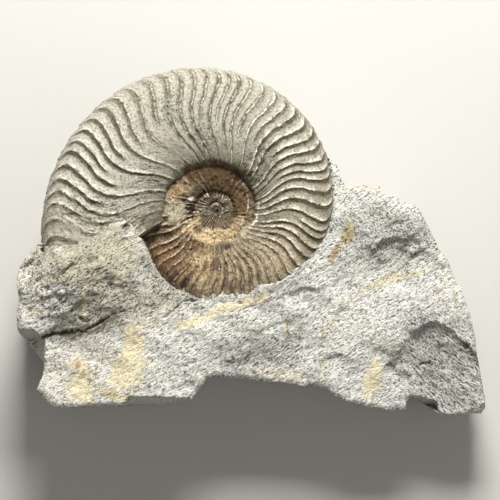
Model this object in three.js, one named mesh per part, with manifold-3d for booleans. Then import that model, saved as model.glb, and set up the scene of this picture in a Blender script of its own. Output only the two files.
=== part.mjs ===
// A Witchellia ammonite lying in its piece of limestone.
// Millimetres, +Z up: the specimen rests on its back, and the ammonite looks up.
// The origin is at the middle of the specimen's box, on the surface that it rests on.
import * as THREE from "three";
import { mergeVertices } from "three/addons/utils/BufferGeometryUtils.js";
import Module from "manifold-3d";

const wasm = await Module();
wasm.setup();

// Driving dimensions of the shell, a logarithmic spiral
const COIL_CENTRE = [-7.25, 5.58];
const MID_PLANE = 22.4; // height of the shell's plane of symmetry
const KEEL_RADIUS = 21.3; // from the coil's centre to the keel in the direction +X
const GROWTH = 0.133; // the radius grows by e to this power for each radian
const MOUTH_ANGLE = 199; // degrees, where the last whorl ends inside the rock
const CORE_ANGLE = -1200; // degrees, where the innermost whorl starts
const PLAIN_ANGLE = -460; // degrees, the whorls inside this one are modelled smooth
const PLAIN_STEP = 20; // degrees between the sections of those
const PLAIN_DEPTH = 0.4; // how deep into their ribs the smooth ones lie
const RIB_DEPTH = 0.024; // a groove's depth as a share of the keel's radius
const CLEARANCE = 0.4; // between the shell and its seat in the rock
const TOLERANCE = 0.045; // how far the flat facets may leave the shape that they stand for
const MERGE_DISTANCE = 1e-5; // points nearer to each other than this are one

// Half of a whorl's section: distance from the centre, half thickness and depth of the ribs,
// the first two as shares of the keel's radius
const SECTION = [
  [0.31, 0.08, 0.1],
  [0.335, 0.122, 0.4],
  [0.38, 0.16, 0.6],
  [0.46, 0.185, 0.8],
  [0.57, 0.198, 1],
  [0.68, 0.194, 1],
  [0.78, 0.174, 1],
  [0.87, 0.142, 1],
  [0.93, 0.108, 0.95],
  [0.965, 0.07, 0.7],
  [1, 0.014, 0],
];
const SEAM = SECTION[0][0];
const FAR_ROW_STEP = 4; // the face that looks down has every fourth of these rows

// A rib's sickle curve: how far it swings towards the mouth, in degrees, at a share of the keel's radius
const SICKLE = [
  [0.31, -4.2],
  [0.42, -0.2],
  [0.53, 4.6],
  [0.6, 6],
  [0.7, 4.9],
  [0.8, 1.5],
  [0.86, 0],
  [0.93, -1],
  [0.965, 0],
  [1, 3.4],
];

// Grooves between the ribs, as angles in degrees where they cross 0.86 of the keel's radius
const GROOVES = [
  -157, -147, -140.5, -134, -126.5, -118.5, -111, -104, -97, -90.5, -84, -77.5, -71, -64.5, -58, -51.5,
  -45, -38.5, -31.5, -25, -19, -13, -8.7, -3.1, 5, 12.5, 19, 23.7, 28.8, 35.2, 41, 47.5, 54.2, 60, 65.6,
  71.9, 77.5, 83.1, 87.7, 92.1, 97.3, 102.5, 108.5, 114.8, 121.5, 127.9, 134.6, 140.4, 146.3, 151.7, 156.7,
  161, 166.7, 172.1, 176.7, 181, 186.5, 192.5, MOUTH_ANGLE,
];
const INNER_RIB_SPACING = 9; // degrees, on the whorls inside the first groove above

// Place between two crests, and depth there: sharp ribs with hollow valleys between them
const RIB_PROFILE = [
  [0, 0],
  [0.3, 0.9],
  [0.7, 0.9],
];
// The grooves' angles are those of the darkest lines, which lie this share of the spacing away from the light
const SHADE_SHIFT = 0.12;
// Place between two grooves, and depth there
const INNER_RIB_PROFILE = [
  [0, 1],
  [0.35, 0],
];
const SEED_RADII = [0.9, 0.9, 0.5]; // the first chamber at the coil's centre
const SEED_FACES = [14, 9]; // round it and from pole to pole
const SEAT_END = 8; // degrees that the seat goes on past the mouth
const SEAT_STEP = 8; // degrees between the seat's sections
const WHORL_PIECE_ANGLE = 120; // degrees, so that no piece of the coil meets itself

// Driving dimensions of the rock
const TOP_OF_WALL = 35; // the outline is carried up past the highest rock and cut by its surface

// Height, and how far the wall leans in there as a share of the distance from the rock's middle
const WALL_LEVELS = [
  [0, 0.1],
  [2.2, 0.06],
  [6.5, 0.035],
  [11.5, 0.03],
  [16, 0],
  [TOP_OF_WALL, 0],
];
const ROCK_MIDDLE = [0, -8];
const SHELF_SHARE = 0.93; // the rock under the shell's free edge reaches this share of the keel's radius
const SHELF_UNDERCUT = 0.09; // extra lean of the wall there
const SHELF_EASE = [8, 18]; // where that lean starts and where it is whole, up the face

// Waves of the lean: how much, and their turn for each millimetre across, up the face and in height
const WALL_WAVES = [
  [0.03, 0.31, 0.22, 0.35],
  [0.012, 0.9, -1, 1],
];
const FACE_BLOCK = [-47, 47, -35, 35]; // left, right, bottom and top of the block that has the rock's face
const GRID_STEP = 2.25; // between the points of that face
const SURVEY_REACH = 3.6; // how far a spot height is felt

// Outline of the rock as seen from above, from the shell's left edge round by the foot to its right edge
const ROCK_OUTLINE = [
  [-39.2, -1], [-39.9, -1.7], [-40.6, -2.7], [-42, -4], [-43.3, -6], [-43.9, -8], [-43.7, -9.8],
  [-43.2, -12], [-43.6, -13.8], [-43.6, -16], [-43.2, -18.9], [-42.2, -20.6], [-40.4, -22.4],
  [-38.6, -23.9], [-38.5, -26], [-39, -27.3], [-39.6, -29], [-38.2, -30.3], [-37, -31.5], [-35.5, -32],
  [-32, -31.9], [-29, -31.6], [-25.5, -31.3], [-22, -31.5], [-18, -31.2], [-15, -30.7], [-12.5, -30],
  [-10.8, -29.6], [-10, -28.3], [-8.8, -27], [-8.2, -25.4], [-6.5, -25.2], [-3.3, -25.6], [-1.5, -25.4],
  [2, -25.9], [6, -26], [10.2, -26.7], [11.2, -26.3], [14.4, -26.9], [16, -28.4], [18.5, -29.2],
  [22, -30], [26.5, -30.6], [29.1, -30.4], [29.2, -28.8], [30, -27.8], [31.7, -28.5], [33.6, -29.7],
  [34.7, -30.6], [36.1, -31.2], [39.8, -31.1], [41.3, -30.6], [43.4, -30.6], [44, -29.6], [44, -27.6],
  [43.5, -25.6], [43, -23.6], [42.2, -20], [41.5, -16], [40.8, -13.5], [40, -11], [39.2, -9],
  [38.8, -7.4], [37.7, -6.4], [36.8, -4.2], [35.9, -2.2], [34.8, -0.8], [33.9, 0.2], [33.2, 2], [32, 4],
  [31, 5.4], [30.2, 7], [29.4, 8.1], [27.6, 8.3], [26, 9], [24, 9.8], [22.5, 11.1], [20.5, 11],
  [19.4, 11.3], [18.3, 10.8], [16.6, 10.9], [15.6, 11.9], [14.9, 14], [14.4, 15], [12.9, 16.1],
];
const FREE_EDGE = [30, 190]; // degrees, the part of the keel that stands clear of the rock's outline
const FREE_EDGE_STEP = 8;

// Where the rock's surface meets the shell, from the left edge of the shell to the right one
const CONTACT = [
  [-39.6, -2.2], [-36, -2], [-33, -1.6], [-30.5, -0.4], [-28, 1], [-25.5, 2.6], [-23, 2.6], [-21.5, 0.8],
  [-20.3, -1.2], [-19.6, -3.2], [-18.6, -5.2], [-17.4, -6.9], [-15.8, -8.3], [-14.2, -9.4], [-12.4, -9.6],
  [-11.8, -10.4], [-9.8, -10.8], [-8.2, -10.4], [-6.2, -10.1], [-4, -9.8], [-2, -9.9], [-0.3, -9.2],
  [0.2, -8.1], [2.2, -7.7], [4.6, -7.1], [6.4, -6], [8, -4.7], [9.3, -3.7], [10.4, -2.4], [11.2, -1],
  [12.3, 0.2],
];
const BARE_KEEL = [-11, 193]; // degrees, where the keel closes that outline
const BARE_KEEL_STEP = 4;
const FALL_UNDER_SHELL = 0.7; // how fast the rock drops away below the shell inside the contact
const RISE_OVER_SHELL = 0.45; // how fast it thickens over the shell outside the contact, at least
const EASE_FROM_SHELL = 0.8; // and at most
const OVER_SHELL = MID_PLANE + 0.5; // where the shell's face is higher than this, the rock lies over it

// Spot heights of the rock's face: across, up the face, and height over the resting surface
const SPOT_HEIGHTS = [
  // the shoulder at the left, which slopes down to the slab
  [-42, -6, 25.9], [-37, -5, 29.7], [-32, -7, 32.8], [-32, -10.5, 31.3], [-27, -6.5, 31.7],
  [-27, -9.5, 30.1], [-22, -5, 28.5], [-20, -9, 26.9], [-22, -10.5, 26.9], [-42, -12, 26.5], [-37, -10, 29.7],
  [-42, -17, 25.3], [-37, -14.5, 27.5], [-32, -14, 28.3], [-27, -12.5, 27.7], [-37, -2.5, 28.5],
  [-30, -2, 30.3], [-24, 0, 28.9], [-37, -18, 25.3], [-31.5, -17, 25.5], [-26.5, -15.2, 25.7],
  [-22, -12.6, 25.7],
  // the slab below it
  [-36, -21, 24.1], [-30, -21, 24.3], [-24, -18, 24.5], [-18, -15, 24.8], [-36, -27, 24],
  [-30, -27, 24.2], [-24, -26, 24.3], [-18, -24, 24.2], [-13, -27, 22.5], [-35, -31, 22.9],
  [-26, -30, 23.3], [-14, -20, 24.6], [-16, -12, 25], [-10, -14, 24.9],
  // the face below the shell
  [-5, -12, 24.5], [0, -11, 24.5], [-5, -17, 23.9], [0, -18, 22.7], [5, -16, 22.1], [-5, -23, 21.3],
  [3, -24, 19.9], [8, -20, 20.7], [8, -12, 22.9], [8, -7, 24.7], [12, -4, 24.1], [-9, -19, 24.3],
  // the bench at the right
  [15, 2, 22.9], [15, 9, 23.5], [18, 7, 23.9], [24, 8, 23.5], [28, 6, 22.9], [21, 3, 22.9], [27, 3, 22.5],
  [26, -2, 20.7], [20, -3, 21.5], [30, -3, 20.1], [33, 0, 19.7], [36, -5, 19.7], [28, -8, 20.9],
  [21, -9, 21.5], [15, -10, 22.3], [36, -10, 20.5], [29, -12, 21.3], [39, -14, 19.7], [23, -17, 21.7],
  [16, -20, 21.5], [16, -26, 19.9], [20, -24, 20.9], [22, -29, 18.9],
  // the hollow at the foot
  [33, -17, 19.1], [37, -20, 17.9], [30, -21, 18.5], [41, -26, 15.9], [35, -27, 15.7], [27, -27, 17.9],
  [42, -22, 17.1], [28, -24, 18.3], [28, -15, 21.3], [34, -12.5, 21.1], [38.5, -16, 19.5],
  [40, -30, 14.3], [35, -22.5, 16.9],
];
const FAR_WEIGHT = 1e-7; // what every spot height counts for at least, so that no place is without one

// Gentle waves of the face: height, turn for each millimetre across and up the face, and turn at the start
const SWELLS = [
  [0.14, 0.55, 0.8, 1.3],
  [0.08, 0.9, -0.5, 0],
  [0.06, 0.4, 1.3, 2],
];

// Ledges: a line along the edge with the low side on its left, the drops along it, the width of the step
// and how far off the drop has died away
const LEDGES = [
  {
    line: [[-17, -12], [-20.5, -12.5], [-24, -13.6], [-26.5, -14.8], [-28.3, -16.2], [-30.5, -17.3],
      [-33, -17.8], [-36.5, -18.3], [-38.5, -19], [-43.6, -20]],
    drops: [0.2, 0.8, 1.4],
    width: 0.4,
    fade: 4,
  },
  {
    line: [[33.4, -1.6], [32, -0.3], [30.6, 1], [29.2, 2.1], [27.3, 1.7], [24.9, 1.7], [22.6, 1],
      [19, -0.8], [15.5, -2.8]],
    drops: [0.5, 3.4, 0.6],
    width: 2.2,
    fade: 6,
  },
  {
    line: [[38.6, -16.4], [36.2, -14.3], [34, -13.5], [31.7, -14.1], [29.2, -15.9], [27, -19.9],
      [24.8, -22.5], [24, -24.8]],
    drops: [1.8, 3, 3.4, 2.4, 1, 0.6, 0.4],
    width: 1.5,
    fade: 5,
  },
  {
    line: [[14, -7.2], [12, -8], [9.5, -8.1], [6, -9.2], [2.5, -10.6], [-1, -11.6]],
    drops: [0.3, 1, 0.2],
    width: 0.6,
    fade: 3,
  },
];

// Steep chipped faces at the rim: the ends of the upper edge, with the low side on its right, how far the face
// reaches, the height of its edge, how steeply it falls and where it stops falling
const CHIPS = [
  { from: [-22.2, -29.6], to: [-11.5, -29.5], reach: 4, height: 21.5, fall: 5.5, floor: 10.9 },
  { from: [-38.5, -19.6], to: [-38.5, -25], reach: 6, height: 21.4, fall: 5, floor: 11.4 },
  { from: [31.2, -27.9], to: [34.9, -28.4], reach: 3, height: 16.4, fall: 4, floor: 8.9 },
];
const CHIP_SIDE_RISE = 8; // past its ends and its reach a chip is shut off by a face this steep

const FULL_TURN = 2 * Math.PI;
const radians = THREE.MathUtils.degToRad;
const keelRadius = (angle) => KEEL_RADIUS * Math.exp(GROWTH * angle);

/** Reads a column of a table at x, straight between its rows and level past its ends. */
function lookUp(table, x, column = 1) {
  const last = table.length - 1;
  if (x <= table[0][0]) return table[0][column];
  if (x >= table[last][0]) return table[last][column];
  const i = table.findIndex((row) => row[0] > x);
  const t = (x - table[i - 1][0]) / (table[i][0] - table[i - 1][0]);
  return THREE.MathUtils.lerp(table[i - 1][column], table[i][column], t);
}

/** Makes a manifold-3d solid of a list of points and a list of triangles. */
function solidFrom(points, triangles) {
  const geometry = new THREE.BufferGeometry()
    .setAttribute("position", new THREE.Float32BufferAttribute(points.flat(), 3))
    .setIndex(triangles.flat());
  return solidOf(geometry);
}

/** Makes a manifold-3d solid of a closed geometry. */
function solidOf(geometry) {
  const bare = new THREE.BufferGeometry().setAttribute("position", geometry.getAttribute("position"));
  if (geometry.index) bare.setIndex(geometry.index);
  const merged = mergeVertices(bare, MERGE_DISTANCE);
  return new wasm.Manifold(
    new wasm.Mesh({
      numProp: 3,
      vertProperties: new Float32Array(merged.attributes.position.array),
      triVerts: new Uint32Array(merged.index.array),
    }),
  );
}

/** Joins rings of points, all with the same count, into a closed solid with a fan at each end. */
function loft(rings) {
  const size = rings[0].length;
  const points = rings.flat();
  const triangles = [];
  for (let r = 0; r + 1 < rings.length; r++)
    for (let i = 0; i < size; i++) {
      const a = r * size + i;
      const b = r * size + ((i + 1) % size);
      triangles.push([a, b, b + size], [a, b + size, a + size]);
    }
  const contour = rings.capPlane ?? rings[0].map(([x, y]) => new THREE.Vector2(x, y));
  const turned = THREE.ShapeUtils.isClockWise(contour);
  const end = (rings.length - 1) * size;
  for (const [a, b, c] of THREE.ShapeUtils.triangulateShape(contour, []))
    if (turned) triangles.push([a, b, c], [c + end, b + end, a + end]);
    else triangles.push([c, b, a], [a + end, b + end, c + end]);
  return solidFrom(points, triangles);
}

/** Every column of the coil from the core to the mouth: an angle, and how deep the groove is there. */
function ribColumns() {
  const grooves = [...GROOVES];
  while (grooves[0] > PLAIN_ANGLE) grooves.unshift(grooves[0] - INNER_RIB_SPACING);
  const plain = Math.ceil((grooves[0] - CORE_ANGLE) / PLAIN_STEP);
  const columns = grooves.slice(0, -1).flatMap((groove, i) => {
    const inner = groove < GROOVES[0];
    const shift = inner ? 0 : SHADE_SHIFT * Math.cos(radians(groove));
    return (inner ? INNER_RIB_PROFILE : RIB_PROFILE).map(([place, depth]) => ({
      angle: THREE.MathUtils.lerp(groove, grooves[i + 1], place + shift),
      depth,
    }));
  });
  const core = Array.from({ length: plain }, (_, i) => ({
    angle: THREE.MathUtils.lerp(CORE_ANGLE, grooves[0], i / plain),
    depth: PLAIN_DEPTH,
  }));
  return [...core, ...columns, { angle: grooves.at(-1), depth: 1 }];
}

/** Smooth columns for the seat, a few degrees apart. */
function smoothColumns(step) {
  const last = MOUTH_ANGLE + SEAT_END;
  const count = Math.ceil((last - CORE_ANGLE) / step);
  return Array.from({ length: count + 1 }, (_, i) => ({ angle: last - (count - i) * step, depth: 0 }));
}

/** The rows of the face that looks down, which needs fewer of them. */
function farRows(rows) {
  return rows.filter((_, i) => i % FAR_ROW_STEP === 0 || i === rows.length - 1).reverse();
}

/** One closed section of a whorl at a column, grown outwards by a clearance. */
function whorlSection(column, rows, clearance) {
  const point = ([share, half, ribbed], side) => {
    const angle = radians(column.angle + (clearance ? 0 : lookUp(SICKLE, share)));
    const radius = keelRadius(angle);
    const groove = side > 0 ? RIB_DEPTH * ribbed * column.depth : 0;
    const reach = share * radius + (share > SEAM ? clearance : -clearance);
    return [
      COIL_CENTRE[0] + reach * Math.cos(angle),
      COIL_CENTRE[1] + reach * Math.sin(angle),
      MID_PLANE + side * ((half - groove) * radius + clearance),
    ];
  };
  return [...rows.map((row) => point(row, 1)), ...farRows(rows).map((row) => point(row, -1))];
}

/** The whole coil, made of lengths of whorl that meet end to end. */
function coil(columns, clearance) {
  let made = null;
  for (let start = 0; start < columns.length - 1; ) {
    let end = start + 1;
    while (end < columns.length - 1 && columns[end].angle - columns[start].angle < WHORL_PIECE_ANGLE) end++;
    const rings = columns.slice(start, end + 1).map((column) => whorlSection(column, SECTION, clearance));
    rings.capPlane = [
      ...SECTION.map(([x, z]) => new THREE.Vector2(x, z)),
      ...farRows(SECTION).map(([x, z]) => new THREE.Vector2(x, -z)),
    ];
    const piece = loft(rings);
    made = made ? made.add(piece) : piece;
    start = end;
  }
  return made;
}

/** Heights at a place of the shell's smooth upper face, and of the lowest whorl where whorls lap. */
function shellHeights(x, y) {
  const [dx, dy] = [x - COIL_CENTRE[0], y - COIL_CENTRE[1]];
  const reach = Math.hypot(dx, dy);
  let angle = Math.atan2(dy, dx);
  if (angle + FULL_TURN <= radians(MOUTH_ANGLE)) angle += FULL_TURN;
  while (reach < SEAM * keelRadius(angle) && angle > radians(CORE_ANGLE)) angle -= FULL_TURN;
  const height = (radius) => MID_PLANE + radius * lookUp(SECTION, reach / radius);
  const inner = keelRadius(angle - FULL_TURN);
  const upper = height(keelRadius(angle));
  return { upper, lower: reach < inner ? Math.min(upper, height(inner)) : upper };
}

/** The nearest place on a line of points: distance, side (left is positive) and share of the way along. */
function nearestOnLine(line, x, y) {
  let best = { distance: Infinity };
  line.slice(1).forEach(([bx, by], i) => {
    const [ax, ay] = line[i];
    const [ux, uy] = [bx - ax, by - ay];
    const t = THREE.MathUtils.clamp(((x - ax) * ux + (y - ay) * uy) / (ux * ux + uy * uy), 0, 1);
    const distance = Math.hypot(x - ax - t * ux, y - ay - t * uy);
    const side = Math.sign((y - ay) * ux - (x - ax) * uy) || 1;
    if (distance < best.distance) best = { distance, side, share: (i + t) / (line.length - 1) };
  });
  return best;
}

/** Tells whether a place is inside a closed outline. */
function isInside(outline, x, y) {
  return outline.reduce((inside, [ax, ay], i) => {
    const [bx, by] = outline[(i + 1) % outline.length];
    const crosses = ay > y !== by > y && x < ax + ((y - ay) / (by - ay)) * (bx - ax);
    return crosses ? !inside : inside;
  }, false);
}

/** Points along the keel, or along a share of its radius, from one angle in degrees to another. */
function keelArc([first, last], step, share) {
  const count = Math.ceil((last - first) / step);
  return Array.from({ length: count + 1 }, (_, i) => {
    const angle = radians(first + ((last - first) * i) / count);
    const reach = share * keelRadius(angle);
    return [COIL_CENTRE[0] + reach * Math.cos(angle), COIL_CENTRE[1] + reach * Math.sin(angle)];
  });
}

const BARE_SHELL = [...CONTACT, ...keelArc(BARE_KEEL, BARE_KEEL_STEP, 1)];
const BARE_SHELL_RIM = [...BARE_SHELL, BARE_SHELL[0]];

/** Spot heights blended into one surface. */
function surveyed(x, y) {
  let [sum, weights] = [0, 0];
  for (const [sx, sy, height] of SPOT_HEIGHTS) {
    const weight = Math.exp(-((x - sx) ** 2 + (y - sy) ** 2) / (2 * SURVEY_REACH ** 2)) + FAR_WEIGHT;
    sum += weight * height;
    weights += weight;
  }
  return sum / weights;
}

/** How far a ledge lowers the face: sharply from its edge on the low side, and not on the high side. */
function ledgeFall({ line, drops, width, fade }, x, y) {
  const { distance, side, share } = nearestOnLine(line, x, y);
  if (side < 0) return 0;
  const drop = lookUp(drops.map((fall, i) => [i / (drops.length - 1), fall]), share);
  return drop * (1 - Math.exp(-distance / width)) * Math.exp(-distance / fade);
}

/** Height of the steep face of a chip at a place, far above the rock where the chip isn't. */
function chipFace({ from, to, reach, height, fall, floor }, x, y) {
  const [ux, uy] = [to[0] - from[0], to[1] - from[1]];
  const length = Math.hypot(ux, uy);
  const along = ((x - from[0]) * ux + (y - from[1]) * uy) / length;
  const beyond = ((x - from[0]) * uy - (y - from[1]) * ux) / length;
  const outside = Math.max(-along, along - length, beyond - reach, 0);
  return Math.max(height - fall * beyond, floor) + CHIP_SIDE_RISE * outside + (beyond < 0 ? TOP_OF_WALL : 0);
}

/** Gentle swells of the broken face. */
function swells(x, y) {
  const wave = ([height, across, up, start]) => height * Math.sin(across * x + up * y + start);
  return SWELLS.reduce((sum, row) => sum + wave(row), 0);
}

/** Height of the rock's face. */
function rockHeight(x, y) {
  const falls = LEDGES.reduce((sum, ledge) => sum + ledgeFall(ledge, x, y), 0);
  const face = surveyed(x, y) + swells(x, y) - falls;
  const { upper, lower } = shellHeights(x, y);
  const { distance } = nearestOnLine(BARE_SHELL_RIM, x, y);
  let met = face;
  if (isInside(BARE_SHELL, x, y)) met = Math.min(face, lower - FALL_UNDER_SHELL * distance);
  else if (upper > OVER_SHELL)
    met = THREE.MathUtils.clamp(face, upper + RISE_OVER_SHELL * distance, upper + EASE_FROM_SHELL * distance);
  return CHIPS.reduce((height, chip) => Math.min(height, chipFace(chip, x, y)), met);
}

/** A block under the rock's face, wider than the rock. */
function faceBlock() {
  const [left, right, bottom, top] = FACE_BLOCK;
  const [across, up] = [Math.ceil((right - left) / GRID_STEP), Math.ceil((top - bottom) / GRID_STEP)];
  const points = [];
  for (const level of ["face", "base"])
    for (let j = 0; j <= up; j++)
      for (let i = 0; i <= across; i++) {
        const x = THREE.MathUtils.lerp(left, right, i / across);
        const y = THREE.MathUtils.lerp(bottom, top, j / up);
        points.push([x, y, level === "face" ? rockHeight(x, y) : 0]);
      }
  const row = across + 1;
  const base = row * (up + 1);
  const triangles = [];
  for (let j = 0; j < up; j++)
    for (let i = 0; i < across; i++) {
      const a = j * row + i;
      triangles.push([a, a + 1, a + row + 1], [a, a + row + 1, a + row]);
      const b = base + a;
      triangles.push([b, b + row + 1, b + 1], [b, b + row, b + row + 1]);
    }
  const wall = (a, b) => triangles.push([a, base + a, base + b], [a, base + b, b]);
  for (let i = 0; i < across; i++) {
    wall(i, i + 1, 1);
    wall(up * row + i + 1, up * row + i);
  }
  for (let j = 0; j < up; j++) {
    wall((j + 1) * row, j * row);
    wall(j * row + across, (j + 1) * row + across);
  }
  return solidFrom(points, triangles);
}

/** The rock's outline carried down as a broken wall that leans in towards its back. */
function wallBlock() {
  const outline = [...ROCK_OUTLINE, ...keelArc(FREE_EDGE, FREE_EDGE_STEP, SHELF_SHARE)];
  const rings = WALL_LEVELS.map(([height, lean]) =>
    outline.map(([x, y]) => {
      const undercut = SHELF_UNDERCUT * (1 - height / TOP_OF_WALL);
      const underShell = undercut * THREE.MathUtils.smoothstep(y, ...SHELF_EASE);
      const wave = ([much, across, up, high]) => much * Math.sin(across * x + up * y + high * height);
      const broken = WALL_WAVES.reduce((sum, row) => sum + wave(row), 0);
      const share = lean > 0 ? 1 - Math.max(lean + underShell + broken, 0) : 1;
      return [
        ROCK_MIDDLE[0] + share * (x - ROCK_MIDDLE[0]),
        ROCK_MIDDLE[1] + share * (y - ROCK_MIDDLE[1]),
        height,
      ];
    }),
  );
  return loft(rings);
}

/** The first chamber, at the coil's centre. */
function firstChamber() {
  const ball = new THREE.SphereGeometry(1, ...SEED_FACES).scale(...SEED_RADII);
  return solidOf(ball.translate(...COIL_CENTRE, MID_PLANE));
}

/** The largest of the bodies in a solid, without the crumbs and slivers that a cut leaves. */
function mainBody(solid) {
  const [largest] = solid.decompose().sort((a, b) => b.volume() - a.volume());
  return largest.asOriginal().simplify(TOLERANCE);
}

/** The whole fossil shell. */
function ammonite() {
  return mainBody(coil(ribColumns(), 0).add(firstChamber()));
}

/** The rock, with the seat that holds the shell. */
function matrix() {
  const seat = coil(smoothColumns(SEAT_STEP), CLEARANCE);
  return mainBody(faceBlock().intersect(wallBlock()).subtract(seat));
}

/** A named mesh of a solid, with the colour and finish of its material. */
function node(name, solid, colour, roughness) {
  const { vertProperties, numProp, triVerts } = solid.getMesh();
  const position = new Float32Array((vertProperties.length / numProp) * 3);
  for (let i = 0; i < position.length / 3; i++)
    position.set(vertProperties.subarray(i * numProp, i * numProp + 3), i * 3);
  const geometry = new THREE.BufferGeometry()
    .setAttribute("position", new THREE.BufferAttribute(position, 3))
    .setIndex(new THREE.BufferAttribute(triVerts, 1));
  geometry.computeVertexNormals();
  const material = new THREE.MeshStandardMaterial({ color: colour, roughness, metalness: 0 });
  const mesh = new THREE.Mesh(geometry, material);
  mesh.name = name;
  return mesh;
}

const specimen = new THREE.Group();
specimen.add(node("ammonite", ammonite(), "#b9ab90", 0.6));
specimen.add(node("matrix", matrix(), "#bdbbad", 0.9));

export default specimen;
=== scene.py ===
"""A Witchellia ammonite lying in its piece of limestone.

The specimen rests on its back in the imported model's frame, with the shell looking up. Sizes are in millimetres,
and every mesh is brought to metres as the last step of making it.
"""

import itertools
import logging
import math
from dataclasses import dataclass, field
from enum import Enum
from typing import Any, Sequence

import bpy
import numpy as np
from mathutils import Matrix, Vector
from mathutils.geometry import delaunay_2d_cdt


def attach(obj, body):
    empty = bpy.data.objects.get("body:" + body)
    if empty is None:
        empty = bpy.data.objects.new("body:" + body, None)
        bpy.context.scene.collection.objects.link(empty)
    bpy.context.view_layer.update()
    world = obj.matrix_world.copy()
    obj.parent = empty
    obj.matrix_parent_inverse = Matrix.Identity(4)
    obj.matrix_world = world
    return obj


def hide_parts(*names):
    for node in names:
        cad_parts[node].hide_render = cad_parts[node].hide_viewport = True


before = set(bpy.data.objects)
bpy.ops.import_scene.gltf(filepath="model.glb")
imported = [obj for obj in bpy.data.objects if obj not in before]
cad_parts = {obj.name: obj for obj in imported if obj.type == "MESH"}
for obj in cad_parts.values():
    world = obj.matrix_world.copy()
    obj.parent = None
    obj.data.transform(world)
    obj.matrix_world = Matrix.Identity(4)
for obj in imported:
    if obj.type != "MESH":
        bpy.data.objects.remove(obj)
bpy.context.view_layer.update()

LOG = logging.getLogger("specimen")
MM = 0.001
Points = Sequence[tuple[float, ...]]


class Mark(Enum):
    """Values that a mesh carries at its vertices, for its Geometry Nodes and its finish."""

    ANGLE = "growth_angle"
    SHARE = "keel_share"
    FLANK = "flank_side"
    GROOVE = "groove"
    # dirt in the grooves, with painted shade at the ribs' feet and in the valleys
    DIRT_AND_SHADE = "groove_dirt_and_painted_shade"
    SWING = "sickle_swing"
    # bright calcite lines, with a painted highlight on the ribs' crests and lit sides
    LINE = "crest_line_and_painted_highlight"
    BROWN = "brown_stain"
    # dark stains, some of them painted shade
    DARK = "dark_stain_and_painted_shade"
    GREY = "grey_stain"
    TAN = "tan_stain"
    # pale stains, some of them painted light on rock lying in shade
    PALE_AND_LIT = "pale_stain_and_painted_light"
    RUST = "rust_stain"
    CRUST = "crust"
    CREAM = "cream_stain"
    OCHRE = "ochre_stain"
    # painted shade in the cracks and the tiny shell's hollow
    HOLLOW_SHADE = "hollow"
    FALLING = "falling_grain"
    ROUGH = "rough_break"


# Helpers


def linear(colour: str) -> tuple[float, float, float, float]:
    """Turns an sRGB hex colour into linear red, green, blue and alpha.

    Args:
        colour: six hex digits after a hash.

    Returns:
        Linear red, green, blue and an alpha of one.
    """
    parts = [int(colour[i : i + 2], 16) / 255 for i in (1, 3, 5)]
    return (*(p / 12.92 if p <= 0.04045 else ((p + 0.055) / 1.055) ** 2.4 for p in parts), 1.0)


def add_node(tree: bpy.types.NodeTree, kind: str, inputs: dict | None = None, **settings: Any) -> bpy.types.Node:
    """Adds a node with its settings and links.

    Args:
        tree: the node tree that gets it.
        kind: the node's type name.
        inputs: a value or another node's output for each input, by its name or number.
        settings: the node's own properties; stops are a ramp's colours, and curve a curve's points.

    Returns:
        The new node.
    """
    node = tree.nodes.new(kind)
    stops = settings.pop("stops", None)
    curve = settings.pop("curve", None)
    for name, value in settings.items():
        setattr(node, name, value)
    for key, value in (inputs or {}).items():
        if isinstance(value, bpy.types.NodeSocket):
            tree.links.new(value, node.inputs[key])
        else:
            node.inputs[key].default_value = value
    if stops:
        elements = node.color_ramp.elements
        while len(elements) < len(stops):
            elements.new(1.0)
        for element, (place, colour) in zip(elements, stops):
            element.position = place
            element.color = linear(colour) if isinstance(colour, str) else (colour, colour, colour, 1.0)
    if curve:
        points = node.mapping.curves[0].points
        while len(points) < len(curve):
            points.new(0.5, 0.5)
        for point, place in zip(points, curve):
            point.location = place
        node.mapping.update()
    return node


def smoothstep(low: float | np.ndarray, high: float | np.ndarray, value: np.ndarray) -> np.ndarray:
    """Eases from 0 at low to 1 at high."""
    t = np.clip((value - low) / (high - low), 0, 1)
    return t * t * (3 - 2 * t)


def table(rows: Points, value: np.ndarray) -> np.ndarray:
    """Reads a two-column table, straight between its rows."""
    columns = np.array(rows, float).T
    return np.interp(value, columns[0], columns[1])


def nearest_on_line(line: Points, spots: np.ndarray) -> tuple[np.ndarray, np.ndarray, np.ndarray]:
    """Finds the nearest place on a line of points.

    Args:
        line: the line's points, in millimetres.
        spots: rows of x and y to measure from.

    Returns:
        The distance, the side (1 on the left of the line, -1 on its right) and the share of the way along.
    """
    best = np.full(len(spots), np.inf)
    side = np.ones(len(spots))
    share = np.zeros(len(spots))
    corners = np.array(line, float)[:, :2]
    for i, (start, end) in enumerate(zip(corners[:-1], corners[1:])):
        run = end - start
        offset = spots - start
        t = np.clip(offset @ run / (run @ run), 0, 1)
        distance = np.linalg.norm(offset - t[:, None] * run, axis=1)
        nearer = distance < best
        best = np.where(nearer, distance, best)
        side = np.where(nearer, np.where(offset[:, 1] * run[0] - offset[:, 0] * run[1] >= 0, 1, -1), side)
        share = np.where(nearer, (i + t) / (len(corners) - 1), share)
    return best, side, share


def is_inside(outline: Points, spots: np.ndarray) -> np.ndarray:
    """Tells which spots lie inside a closed outline."""
    inside = np.zeros(len(spots), bool)
    corners = np.array(outline, float)[:, :2]
    for (ax, ay), (bx, by) in zip(corners, np.roll(corners, -1, axis=0)):
        if ay == by:
            continue
        crosses = (ay > spots[:, 1]) != (by > spots[:, 1])
        inside ^= crosses & (spots[:, 0] < ax + (spots[:, 1] - ay) / (by - ay) * (bx - ax))
    return inside


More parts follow.
